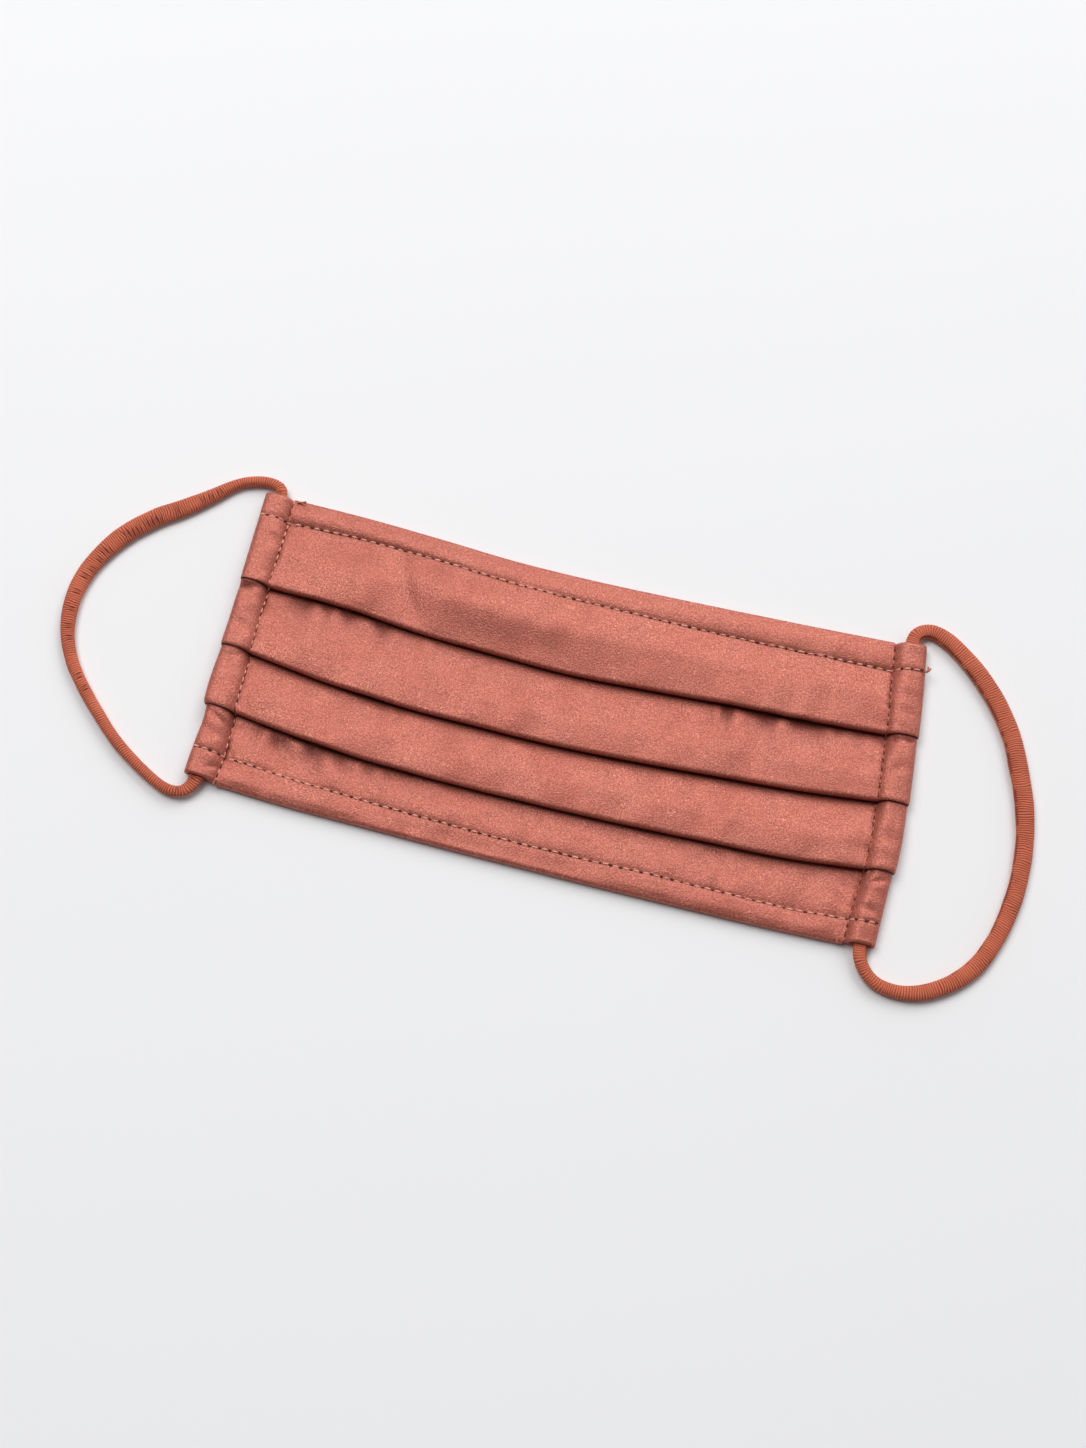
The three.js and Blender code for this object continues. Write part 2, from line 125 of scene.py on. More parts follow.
# Creases in the bands, from one point to another, in millimetres. deep is negative where the
# cloth stands up.
CREASES = table(
    "band x1 y1 x2 y2 wide deep",
    (0, -54, 32, -46, 15, 3.2, 1.4),
    (0, -66, 32, -59, 16, 6.0, -0.6),
    (0, -54, 33, -28, 29, 6.0, -1.3),
    (0, -50, 24, 2, 20, 6.5, -0.9),
    (0, -36, 27, 8, 28, 8.5, -1.5),
    (0, 0, 28, 36, 26, 8.0, -0.3),
    (0, -7, 33, 3, 28, 2.4, 0.5),
    (0, -12, 20, -6, 12, 4.0, 0.5),
    (1, -72, 12, -73, -5, 4.5, -0.5),
    (1, -63, 12, -62, -6, 3.5, 0.5),
    (1, -40, 10, -42, -6, 4.0, 0.4),
    (1, 49, 11, 48, -6, 2.6, -0.45),
    (1, 55, 11, 54, -6, 3.0, 0.45),
    (2, -44, -10, -46, -24, 4.0, -0.4),
    (2, -36, -10, -38, -24, 4.0, 0.4),
    (2, 53, -9, 50, -24, 2.8, -0.5),
    (2, 46, -9, 44, -24, 3.0, 0.4),
    (3, -76, -24, -66, -33, 3.0, 0.6),
    (3, -60, -28, -52, -35, 2.6, -0.6),
    (3, -54, -28, -47, -36, 2.4, 0.5),
    (3, 49, -28, 50, -37, 1.8, -0.35),
    (3, 53, -28, 53, -37, 2.0, 0.35),
    (3, 80, -30, 86, -35, 1.0, 0.45),
)

# Ripples just under a pleat, where the cloth was folded with too much width. start and end are
# shares of half the width, and the rest is in millimetres.
RIPPLES = table(
    "fold start end pitch high deep",
    (0, -0.98, -0.4, 11.0, 2.4, 1.2),
    (0, 0.42, 0.99, 8.5, 2.4, 1.3),
    (1, -0.75, -0.4, 9.0, 1.6, 0.5),
    (1, 0.3, 0.8, 11.0, 1.4, 0.3),
    (2, -0.97, -0.45, 7.5, 2.2, 1.0),
    (2, 0.2, 0.7, 11.0, 1.6, 0.4),
)

# Places where the lip of a pleat stands up off the band below it. across and wide are shares
# of half the width, and lift is in millimetres.
LIP_LIFTS = table(
    "fold across wide lift",
    (0, -0.83, 0.05, 0.7),
    (0, -0.7, 0.05, 0.6),
    (0, 0.64, 0.035, 0.6),
    (0, 0.74, 0.03, 0.5),
    (0, 0.84, 0.03, 0.5),
    (1, -0.62, 0.08, 0.5),
    (2, -0.72, 0.1, 0.9),
    (2, -0.45, 0.07, 0.4),
)

# Dents in the casings. across is a share of the casing's width, at a share of the panel's
# height, lean how far the dent runs up over the casing's width, and the rest is in millimetres.
CASING_DENTS = table(
    "side across at lean wide high deep",
    (-1, 0.75, 0.176, -0.6, 3.6, 0.8, 0.85),
    (-1, 0.8, 0.196, -0.4, 3.0, 0.9, -0.6),
    (-1, 0.5, 0.04, 3.0, 3.0, 1.6, 0.5),
    (-1, 0.6, -0.07, -2.0, 3.0, 1.2, 0.45),
    (-1, 0.35, -0.285, 3.5, 3.5, 0.9, 0.7),
    (-1, 0.6, -0.33, 3.0, 3.5, 1.3, 0.5),
    (-1, 0.2, -0.44, -2.5, 1.5, 0.7, 0.5),
    (-1, 0.45, 0.36, 2.0, 3.5, 1.6, 0.35),
    (1, 0.3, 0.163, -0.6, 2.0, 0.8, 0.8),
    (1, 0.75, 0.167, 0.3, 1.6, 0.6, 0.7),
    (1, 0.4, 0.06, 3.0, 3.0, 1.6, 0.4),
    (1, 0.5, -0.31, 3.0, 3.0, 1.0, 0.6),
    (1, 0.5, -0.4, -2.0, 3.0, 1.4, 0.4),
)

# Route of each ear loop outside its casing, from the upper mouth to the lower one, in
# millimetres, with its width as a share of the loop's and its height as a share of the thickness
LEFT_ROUTE = (
    (-93.0, 46.6, 2.2, 0.62, 0.7), (-94.9, 48.0, 1.9, 0.58, 0.8), (-97.6, 48.5, 1.6, 0.56, 0.9),
    (-101.7, 47.8, 1.4, 0.56, 0.98), (-105.9, 45.8, 1.4, 0.6, 1.0), (-112.0, 40.4, 1.4, 0.78, 1.0),
    (-118.6, 35.1, 1.4, 1.0, 1.0), (-125.4, 30.1, 1.4, 1.06, 1.0), (-131.4, 24.2, 1.4, 1.06, 1.0),
    (-136.0, 17.1, 1.4, 1.0, 1.0), (-139.2, 9.1, 1.4, 0.96, 1.0), (-140.1, 0.3, 1.4, 0.86, 1.0),
    (-138.7, -8.5, 1.4, 0.74, 1.0), (-134.7, -16.7, 1.4, 0.68, 1.0), (-129.0, -23.7, 1.4, 0.65, 1.0),
    (-122.9, -29.8, 1.4, 0.63, 1.0), (-116.4, -35.7, 1.4, 0.6, 1.0), (-109.2, -40.7, 1.4, 0.58, 1.0),
    (-102.6, -44.4, 1.4, 0.58, 0.98), (-98.0, -46.2, 1.6, 0.58, 0.9), (-94.6, -46.2, 1.9, 0.6, 0.8),
    (-92.2, -44.6, 2.2, 0.66, 0.7),
)
RIGHT_ROUTE = (
    (90.0, 45.4, 2.2, 0.7, 0.7), (91.6, 47.5, 1.9, 0.72, 0.8), (94.4, 48.4, 1.6, 0.78, 0.9),
    (98.8, 47.1, 1.4, 0.88, 0.98), (106.0, 42.0, 1.4, 0.98, 1.0), (112.0, 36.1, 1.4, 1.0, 1.0),
    (117.1, 29.6, 1.4, 1.0, 1.0), (121.3, 22.3, 1.4, 0.98, 1.0), (124.4, 14.3, 1.4, 0.98, 1.0),
    (127.0, 6.3, 1.4, 0.98, 1.0), (128.7, -2.0, 1.4, 0.94, 1.0), (129.4, -10.4, 1.4, 0.92, 1.0),
    (129.2, -18.8, 1.4, 0.9, 1.0), (127.9, -27.1, 1.4, 0.9, 1.0), (125.6, -35.1, 1.4, 0.88, 1.0),
    (121.9, -42.6, 1.4, 0.88, 1.0), (116.4, -48.5, 1.4, 0.84, 1.0), (109.2, -52.6, 1.4, 0.8, 1.0),
    (102.6, -53.7, 1.4, 0.72, 0.98), (97.2, -52.6, 1.6, 0.64, 0.9), (93.7, -49.8, 1.9, 0.62, 0.8),
    (92.1, -46.6, 2.2, 0.66, 0.7),
)
# The stretch hidden in the casing, from the lower mouth to the upper one, as shares of the height
HIDDEN_STEPS = (-0.46, -0.3, -0.1, 0.1, 0.3, 0.46)
HIDDEN_WIDE = 0.85

# The two loops. seam is the angle round the loop where its seam runs, seam_depth is in
# millimetres, and slits is the share of its gathers that stand open.
LOOPS = table(
    "side word route seam seam_depth slits",
    (-1, "left", LEFT_ROUTE, 0.6, 0.05, 0.55),
    (1, "right", RIGHT_ROUTE, 2.7, 0.28, 0.2),
)

# Ends of thread that stick out of the seams: the first point, the way that it heads and its
# length, in millimetres, and how far it curls over
THREAD_ENDS = table(
    "at to long curl",
    ((94.2, 35.0, 4.3), (1.0, 0.25, -0.35), 2.6, 1.2),
    ((94.6, 35.3, 4.2), (1.0, 0.6, -0.3), 1.9, 1.6),
    ((-87.4, 43.9, 2.7), (1.0, 0.1, 0.0), 2.6, 0.5),
    ((-86.6, 44.1, 2.6), (1.0, -0.1, 0.0), 1.8, -0.6),
    ((85.6, -43.4, 2.3), (-0.4, -0.9, -0.1), 1.4, 1.0),
    ((82.6, -44.0, 2.0), (-0.9, -0.3, -0.1), 1.5, -0.7),
    ((-85.6, -40.8, 2.9), (-0.5, -1.0, -0.2), 1.7, 0.6),
)

# Camera, from the middle of the mask, and where it aims on the floor
CAMERA_AZIMUTH = math.radians(13.9)
CAMERA_ELEVATION = math.radians(70.0)
CAMERA_DISTANCE = 557.74 * MM
CAMERA_AIM = Vector((-4.0 * MM, -3.27 * MM, 0.0))
CAMERA_LENS = 50.67

# Lamps, placed as the camera sees the floor, in metres and watts
LAMPS = table(
    "name right ahead up wide power",
    ("key_light", 0.9, 1.6, 1.45, 1.5, 23.0),
    ("overhead_light", -0.8, 0.9, 2.1, 1.6, 31.0),
)


def length(name, description, millimetres):
    return bpy.props.FloatProperty(
        name=name, description=description, default=millimetres * MM, unit="LENGTH", precision=5
    )


def colour(name, description, linear):
    return bpy.props.FloatVectorProperty(
        name=name, description=description, default=linear, subtype="COLOR", min=0, max=1
    )


class MaskSizes(bpy.types.PropertyGroup):
    """Sizes of the mask"""

    panel_width: length("Panel width", "Between the rows of side stitches", 174.5)
    panel_height: length("Panel height", "From the top edge to the bottom edge", 86)
    cloth: length("Cloth", "Thickness of the satin with its backing", 1.0)
    layer_gap: length("Layer gap", "Air between layers that lie on each other", 0.4)
    pleat_depth: length("Pleat depth", "How far a pleat is folded back", 10)
    top_hem: length("Top hem", "Cloth turned to the back at the top", 8)
    bottom_hem: length("Bottom hem", "Cloth turned to the back at the bottom", 7.2)
    band_puff: length("Band puff", "How far a band stands proud in its middle", 1.3)
    dent_depth: length("Dent depth", "Depth of the soft dents", 0.54)
    loop_width: length("Loop width", "Width of an ear loop", 5.2)
    loop_thickness: length("Loop thickness", "Thickness of an ear loop", 2.8)
    pressed_thickness: length("Pressed loop", "Thickness of a loop in its casing", 1.9)
    loop_clearance: length("Loop clearance", "Between a loop and its tunnel", 0.35)
    casing_allowance: length("Casing allowance", "From the stitches to the tunnel", 1.7)
    pleat_step: length("Pleat step", "Rise of the casing's front over a pleat", 0.9)
    stitch_pitch: length("Stitch pitch", "From one stitch to the next", 2.75)
    thread: length("Thread", "Thickness of the sewing thread", 0.34)
    rib_pitch: length("Rib pitch", "From one gather of a loop to the next", 0.66)
    rib_depth: length("Rib depth", "Depth of the gathers of a loop", 0.2)
    slit_depth: length("Slit depth", "Depth of the open gathers of a loop", 0.4)


class MaskColours(bpy.types.PropertyGroup):
    """Colours of the mask, linear"""

    satin: colour("Satin", "Colour of the satin", (0.56, 0.144, 0.098))
    elastic: colour("Ear loops", "Colour of the gathered loops", (0.77, 0.175, 0.077))
    thread: colour("Thread", "Colour of the hems' sewing thread", (0.72, 0.33, 0.24))
    seam_thread: colour("Seam thread", "Colour of the right side's thread", (0.46, 0.13, 0.085))
    # Needle holes are painted shade: dark beads set where the holes lie in shade
    needle_hole: colour("Needle hole", "Colour inside a needle hole", (0.08, 0.016, 0.011))
    floor: colour("Floor", "Colour of the floor", (0.9, 0.9, 0.907))


# Shapes worked out from the tables


def sample(rows, column, at):
    """One column of a table at places between its rows, on a smooth curve through them"""
    places = np.array([row["at"] for row in rows])
    values = np.array([row[column] for row in rows])
    after = np.minimum(np.arange(len(rows)) + 1, len(rows) - 1)
    before = np.maximum(np.arange(len(rows)) - 1, 0)
    slopes = (values[after] - values[before]) / (places[after] - places[before])
    at = np.asarray(at, float)
    i = np.clip(np.searchsorted(places, at, side="left") - 1, 0, len(rows) - 2)
    run = places[i + 1] - places[i]
    s = np.clip((at - places[i]) / run, 0, 1)
    held = (2 * s - 3) * s * s + 1
    bend = run * s * (1 - s) * (slopes[i] * (1 - s) - slopes[i + 1] * s)
    return values[i] * held + values[i + 1] * (1 - held) + bend


def ease(share):
    share = np.clip(share, 0, 1)
    return share * share * (3 - 2 * share)


def mix(start, end, share):
    return start * (1 - share) + end * share


def bell(away, reach):
    return np.exp(-((away / reach) ** 2))


def waves(x, y, count, short, long, seed):
    """Smooth noise of about unit size, a sum of waves in seeded directions"""
    draw = random.Random(seed)
    total = np.zeros(np.broadcast(x, y).shape)
    for _ in range(count):
        wavelength = draw.uniform(short, long) * MM
        heading = draw.uniform(0, math.pi)
        phase = draw.uniform(0, 2 * math.pi)
        along = x * math.cos(heading) + y * math.sin(heading)
        total += np.sin(2 * math.pi * along / wavelength + phase)
    return total / math.sqrt(count / 2)


def line_at(m, name, across):
    return m.panel_height * sample(LINES, name, across)


def side_at(m, side, y):
    name = "left" if side < 0 else "right"
    return m.panel_width / 2 * sample(SIDES, name, y / m.panel_height)


def tunnel_size(m):
    """Width and height inside a casing"""
    return m.loop_width + 2 * m.loop_clearance, m.pressed_thickness + 2 * m.loop_clearance


def casing_width_at(m, side, y):
    name = "left_wide" if side < 0 else "right_wide"
    full = m.casing_allowance + tunnel_size(m)[0] + m.cloth
    return full * sample(SIDES, name, y / m.panel_height)


def hem_row(m, name, across):
    """Height of a row of hem stitches on the panel"""
    inset = m.panel_height * sample(HEM_ROWS, name, across)
    return line_at(m, name, across) + (-inset if name == "top" else inset)


def level(m, layer):
    """Middle of one of the three layers of cloth"""
    return m.cloth / 2 + layer * (m.cloth + m.layer_gap)


# Between the panel and a casing, where the stitches draw both down
SEAM_GAP = 0.04 * MM


def on_panel(m, across, y):
    """X of a point of the panel, spread between the rows of side stitches"""
    left = side_at(m, -1, y) + SEAM_GAP / 2
    right = side_at(m, 1, y) - SEAM_GAP / 2
    return mix(left, right, (across + 1) / 2)


def crease_depth(band, x, y):
    """How far the creases of a band press its front down"""
    depth = 0 * x
    for row in CREASES:
        if row["band"] == band:
            start = np.array((row["x1"], row["y1"])) * MM
            way = np.array((row["x2"], row["y2"])) * MM - start
            along = np.clip(((x - start[0]) * way[0] + (y - start[1]) * way[1]) / (way @ way), 0, 1)
            away = np.hypot(x - start[0] - along * way[0], y - start[1] - along * way[1])
            ends = np.sin(np.pi * (0.12 + 0.76 * along))
            depth = depth + row["deep"] * MM * ends * bell(away, row["wide"] * MM)
    return depth


def puckers(m, along, away, reach):
    """Small ridges that run out from a row of stitches, one to a stitch"""
    return np.cos(2 * np.pi * along / m.stitch_pitch) * np.exp(-np.abs(away) / reach)


# Stitches press a groove into the cloth, SEAM_GROOVE at the sides and ROW_GROOVE at the hems,
# where the cloth about the row also sinks by ROW_SINK.
SEAM_GROOVE = 0.32 * MM
ROW_GROOVE = 0.25 * MM
ROW_SINK = 0.3 * MM
# How far the hems stand proud: the top one most at the left, and the bottom one only at its ends
HEM_PUFF = {"left": 1.5 * MM, "top": 0.7 * MM, "bottom": 0.6 * MM}
# How far the slack middle of the bottom hem hangs down
SLACK_DROP = 0.4 * MM


def hem_relief(m, name, x, y, across):
    """Height of the front about a row of hem stitches"""
    row = hem_row(m, name, across)
    away = y - row
    outward = away / (line_at(m, name, across) - row)
    inside = np.clip(outward, 0, 1)
    if name == "top":
        slack, skew = 0.0, 1.3
        puff = mix(HEM_PUFF["left"], HEM_PUFF["top"], ease((across + 0.6) / 0.8))
    else:
        slack, skew = np.exp(-(((across + 0.12) / 0.42) ** 4)), 2.8
        puff = HEM_PUFF["bottom"] * (1 - slack)
    reach = np.where(outward < 0, 5.0, 0.8 + 8 * slack) * MM
    relief = puff * np.sin(np.pi * inside**skew) ** 0.8 - SLACK_DROP * slack * inside
    relief -= ROW_SINK * np.exp(-np.abs(away) / reach) + ROW_GROOVE * bell(away, 0.55 * MM)
    relief += 0.09 * MM * puckers(m, x, away, 1.5 * MM)
    return relief + 0.13 * MM * waves(x, 0.3 * y, 7, 6, 16, seed=31) * np.exp(-np.abs(away) / (4 * MM))


def cloth_relief(m, x, y, across, from_seam):
    """Fine unevenness of the front: soft waves, puckers and the grooves of the stitches"""
    calm = np.clip(from_seam / (6 * MM), 0, 1)
    relief = 0.16 * MM * waves(x, 0.22 * y, 10, 9, 28, seed=3) * calm
    relief += 0.03 * MM * waves(x, y, 12, 7, 15, seed=8)
    relief += 0.07 * MM * puckers(m, y, from_seam, 1.6 * MM) - SEAM_GROOVE * bell(from_seam, 0.75 * MM)
    relief += 0.2 * MM * waves(0.4 * x, y, 6, 6, 13, seed=21) * np.exp(-from_seam / (7 * MM))
    return relief + sum(hem_relief(m, name, x, y, across) for name in ("top", "bottom"))


# How far each band stands proud, as shares of the band puff at its left and at its right
FULLNESS = ((0.75, 0.2), (0.3, 0.3), (0.3, 0.3), (0.3, 0.3))


def band_relief(m, band, across, down):
    """How far the front of a band stands above its flat layer, by its puff and its dents"""
    belly = np.sin(np.pi * np.clip(down, 0, 1))
    fullness = mix(*FULLNESS[band], ease((across - 0.1) / 0.6))
    relief = fullness * m.band_puff * belly**0.8 * (1 - np.abs(across) ** 3)
    for row in DENTS:
        if row["band"] == band:
            fit = bell(across - row["across"], row["wide"]) * bell(down - row["down"], row["high"])
            relief = relief - m.dent_depth * row["deep"] * fit * belly
    return relief


def ripples(fold, x, across, below):
    """Small ridges that stand up in the cloth just under a pleat, and painted shade between them"""
    relief, pocket_shade = 0 * x, 0 * x
    for row in RIPPLES:
        if row["fold"] == fold:
            inside = ease((across - row["start"]) / 0.08) * ease((row["end"] - across) / 0.08)
            drift = 1.6 * waves(x, 0 * x, 5, 14, 30, seed=70 + fold)
            tall = 0.75 + 0.3 * waves(x, 0 * x, 5, 9, 23, seed=80 + fold)
            ridge = 0.5 + 0.5 * np.cos(2 * np.pi * x / row["pitch"] / MM + drift)
            fade = below / MM / row["high"]
            raised = 0.55 * row["deep"] * MM * inside * ridge**0.8 * tall
            relief = relief + raised * fade * np.exp(1 - fade)
            # Painted shade in the pockets between the ridges, darkest right under the lip; deep sets both
            dark = 1.1 * inside * (1 - ridge) ** 0.6 * tall * bell(fade, 1.9)
            pocket_shade = np.maximum(pocket_shade, np.clip(row["deep"] * dark, 0, 1))
    return relief, pocket_shade


# How far every lip stands up, but for the left half of the first one
LIP_RISE = 0.25 * MM


def lip_lift(fold, across):
    """How far the lip of a pleat stands up"""
    lift = 0.08 * MM * waves(across * 80 * MM, 0 * across, 6, 12, 30, seed=40 + fold)
    lift = lift + LIP_RISE * (ease((across - 0.15) / 0.3) if fold == 0 else 1.0)
    for row in LIP_LIFTS:
        if row["fold"] == fold:
            lift = lift + row["lift"] * MM * bell(across - row["across"], row["wide"])
    return lift * (1 - np.abs(across) ** 8)


# Meshes


def quads(corners, turned=False):
    """Four-sided faces over a grid of corner numbers"""
    sides = (corners[:-1, :-1], corners[:-1, 1:], corners[1:, 1:], corners[1:, :-1])
    faces = np.stack(sides, axis=-1).reshape(-1, 4)
    return faces[:, [0, 3, 2, 1]] if turned else faces


def add_object(name, data):
    made = bpy.data.objects.new(name, data)
    bpy.context.scene.collection.objects.link(made)
    return made


def cloth_object(name, corners, faces, flat, values):
    """A smooth mesh with a UV map of its places on the flat cloth, in metres, and named values"""
    mesh = bpy.data.meshes.new(name)
    mesh.from_pydata(corners.tolist(), [], faces.tolist())
    mesh.polygons.foreach_set("use_smooth", [True] * len(mesh.polygons))
    corner = np.zeros(len(mesh.loops), np.int32)
    mesh.loops.foreach_get("vertex_index", corner)
    layer = mesh.uv_layers.new(name="cloth")
    layer.data.foreach_set("uv", flat[corner].reshape(-1).astype(np.float32))
    for label, each in values.items():
        attribute = mesh.attributes.new(label, "FLOAT", "POINT")
        attribute.data.foreach_set("value", each.reshape(-1).astype(np.float32))
    return add_object(name, mesh)


def cloth_wall(name, inner, outer, flat_u, flat_v, deep, looped):
    """A wall of cloth between two sheets of points, each of shape (row, place, 3)

    A looped row goes round and back to its first point. deep is the painted shade of the outer
    sheet, from 0 to 1, full deep in a fold, and is kept as the deep attribute that darkens the
    satin's colour.
    """
    corners = np.stack([inner, outer], axis=2).reshape(-1, 3)
    number = np.arange(len(corners)).reshape(*inner.shape[:2], 2)
    if looped:
        number = np.concatenate([number, number[:, :1]], axis=1)
    parts = [
        quads(number[..., 1]), quads(number[..., 0], turned=True),
        quads(number[0].T), quads(number[-1].T, turned=True),
    ]
    if not looped:
        parts += [quads(number[:, 0]), quads(number[:, -1], turned=True)]
    faces = np.concatenate(parts)
    a, b, c, d = (corners[faces[:, k]] for k in range(4))
    volume = np.einsum("ij,ij->", a, np.cross(b, c)) + np.einsum("ij,ij->", a, np.cross(c, d))
    if volume < 0:
        faces = faces[:, ::-1]
    flat = np.stack([flat_u, flat_v], axis=-1).reshape(-1, 2).repeat(2, axis=0)
    return cloth_object(name, corners, faces, flat, {"deep": np.stack([0 * deep, deep], axis=-1)})


# Panel

PANEL_STATIONS = 260
BAND_SAMPLES = (38, 27, 23, 27)
LIP_SAMPLES = 9
# How square a turn of the cloth is: 1 is round, and less is squarer
LIP_POWER = 0.7
EDGE_POWER = 0.6
# How far the top and bottom edges roll out over their plain lines
EDGE_ROLL = 0.6 * MM
# How much further down the middle bands reach their last layer, as a share of the pleat depth
CLIMB_DELAY = 0.3
# How far under a fold the relief of a band has fully set in
RELIEF_START = 2.2 * MM
# Painted shade under a fold, which darkens the satin's colour and is full at the fold itself.
# The wide part has a share for each band.
CLOSE_SHADE = 0.6 * MM
WIDE_SHADE = 3.5 * MM
WIDE_SHADE_SHARES = (0.0, 0.28, 0.1, 0.1)
# Painted shade along each row of hem stitches: its share and its reach
ROW_SHADE_SHARE = 0.3
ROW_SHADE = 0.7 * MM


def band_levels(band):
    """The layer where a band starts and the layer that it climbs to"""
    return (1 if band == 0 else 0), (2 if band < LAST_BAND else 1)


def band_climb(m, band, across, upper, lower):
    """Heights between which a band climbs from its first layer to its last one"""
    start = line_at(m, "top", across) - m.top_hem if band == 0 else upper
    end = lower + (m.pleat_depth if band < LAST_BAND else m.bottom_hem)
    return start, end


def band_section(m, band, across, upper, lower, edge, lift):
    """A function for the middle of a band's cloth at a share of its way down, and its painted shade"""
    first, last = band_levels(band)
    climb_start, climb_end = band_climb(m, band, across, upper, edge)
    middle_band = band not in (0, LAST_BAND)
    if middle_band:
        climb_end = climb_end - CLIMB_DELAY * m.pleat_depth

    def place(share):
        y = mix(upper, lower, share)
        x = on_panel(m, across, y)
        from_seam = np.minimum(x - side_at(m, -1, y), side_at(m, 1, y) - x)
        climbed = np.clip((climb_start - y) / (climb_start - climb_end), 0, 1)
        climbed = 1 - (1 - climbed) ** 1.3 if middle_band else ease(climbed)
        z = mix(level(m, first), level(m, last), climbed) + band_relief(m, band, across, share)
        shade, shown = 0 * across, 1.0
        # Painted shade under the fold above: in the ripples' pockets, close to the lip and wider
        if band:
            below = np.maximum(upper - y, 0)
            ridges, shade = ripples(band - 1, x, across, below)
            z = z + ridges
            shown = ease(below / RELIEF_START)
            shade = np.maximum(shade, WIDE_SHADE_SHARES[band] * np.exp(-below / WIDE_SHADE))
            shade = np.maximum(shade, np.exp(-below / CLOSE_SHADE))
        # Painted shade along the rows of hem stitches
        for name in ("top", "bottom"):
            from_row = y - hem_row(m, name, across)
            shade = np.maximum(shade, ROW_SHADE_SHARE * bell(from_row, ROW_SHADE))
        belly = np.sqrt(np.clip(np.sin(np.pi * np.clip(share, 0, 1)), 0, 1))
        fine = cloth_relief(m, x, y, across, from_seam) - crease_depth(band, x, y)
        return y, z + fine * belly * shown + lift * ease((share - 0.5) / 0.5), shade

    return place


def panel_sections(m, across):
    """The middle of the cloth, its normal, and the painted shade of its right side, full deep in a fold

    Every row is one point of the section, for all the places across.
    """
    rows = []
    radius = (m.cloth + m.layer_gap) / 2
    reach = radius + m.cloth / 2

    def add(y, z, ny, nz, deep):
        rows.append([0 * across + value for value in (y, z, ny, nz, deep)])

    def turn(y, z, way, start, steps, power, deep=0.0):
        for angle in np.linspace(0, np.pi, steps + 1):
            out, up = math.sin(angle), math.cos(angle)
            normal_out, normal_up = out ** (2 - power), math.copysign(abs(up) ** (2 - power), up)
            size = math.hypot(normal_out, normal_up)
            place_y = y + radius * way * out**power
            place_z = z + radius * start * math.copysign(abs(up) ** power, up)
            # Painted shade on the cloth as it turns under
            shade = deep * ease((angle / np.pi - 0.3) / 0.7)
            add(place_y, place_z, start * normal_out / size, way * normal_up / size, shade)

    top, bottom = line_at(m, "top", across), line_at(m, "bottom", across)
    folds = [line_at(m, name, across) for name in FOLDS]
    uppers = [top - reach, *folds]
    lowers = [*(fold + reach for fold in folds), bottom + reach - EDGE_ROLL]
    edges = [*folds, bottom]
    add(top - m.top_hem, level(m, 0), 0, 1, 0)
    turn(top - reach + EDGE_ROLL, level(m, 0.5), 1, -1, 6, EDGE_POWER)
    step = 1e-3
    for band in range(LAST_BAND + 1):
        lift = lip_lift(band, across) if band < LAST_BAND else 0 * across
        place = band_section(m, band, across, uppers[band], lowers[band], edges[band], lift)
        for share in np.linspace(0, 1, BAND_SAMPLES[band] + 2)[1:-1]:
            y, z, shade = place(share)
            (y1, z1, _), (y2, z2, _) = place(share - step), place(share + step)
            size = np.hypot(y2 - y1, z2 - z1)
            add(y, z, -(z2 - z1) / size, (y2 - y1) / size, shade)
        if band < LAST_BAND:
            fold = folds[band]
            # The lip's underside and the hidden layers of the pleat get full painted shade
            turn(fold + reach, level(m, 1.5) + lift, -1, 1, LIP_SAMPLES, LIP_POWER, 1.0)
            for share in (0.2, 0.45, 0.75):
                y = mix(fold + reach, fold + m.pleat_depth - reach, share)
                add(y, level(m, 1) + lift * (1 - share) ** 2, 0, 1, 1)
            turn(fold + m.pleat_depth - reach, level(m, 0.5), 1, 1, 3, 1, 1.0)
            add(fold + reach, level(m, 0), 0, -1, 1)
            add(fold, level(m, 0), 0, -1, 1)
    turn(bottom + reach - EDGE_ROLL, level(m, 0.5), -1, 1, 6, EDGE_POWER)
    add(bottom + m.bottom_hem, level(m, 0), 0, 1, 0)
    return np.array(rows).transpose(1, 0, 2)


def build_panel(m):
    """The satin panel, as one closed wall of cloth, and the length of cloth along its section"""
    spread = np.sin(np.linspace(-0.5, 0.5, PANEL_STATIONS + 1) * np.pi * 0.93)
    across = spread / spread[-1]
    y, z, ny, nz, deep = panel_sections(m, across)

    def sheet(way):
        place_y, place_z = y + way * m.cloth / 2 * ny, z + way * m.cloth / 2 * nz
        return np.stack([on_panel(m, across, place_y), place_y, np.maximum(place_z, 0)], axis=-1)

    steps = np.hypot(np.diff(y, axis=0), np.diff(z, axis=0))
    along = np.vstack([0 * steps[:1], np.cumsum(steps, axis=0)])
    grids = (sheet(1), sheet(-1), on_panel(m, across, y), along, deep)
    turned = [np.swapaxes(grid, 0, 1) for grid in grids]
    return cloth_wall("pleated_panel_cloth", *turned, looped=False), float(along[-1].mean())


# Casings

# How far each mouth slants up from the stitches to the outer edge
MOUTH_RAKES = {-1: {"top": 0.3 * MM, "bottom": 0.8 * MM}, 1: {"top": 1.2 * MM, "bottom": 0.3 * MM}}
# How far the outer edge stands out above each fold
EDGE_STEPS = {-1: (0.25 * MM, 0.3 * MM, 0.8 * MM), 1: (0.35 * MM, 0.4 * MM, 0.6 * MM)}
# How deep the crease under a fold runs, and how far it stands open
CREASE_DEPTH = 1.7 * MM
CREASE_GAP = 0.12 * MM
# How square the tunnel's section is: 2 is an ellipse, and more is squarer
TUNNEL_POWER = 2.6
CASING_BAND_SAMPLES = 42
# Where the front starts to round over, as a share of the casing's width
ROUND_START = 0.7
# How far the front falls away to the outer edge
CASING_SLANT = {-1: 0.4 * MM, 1: 1.0 * MM}


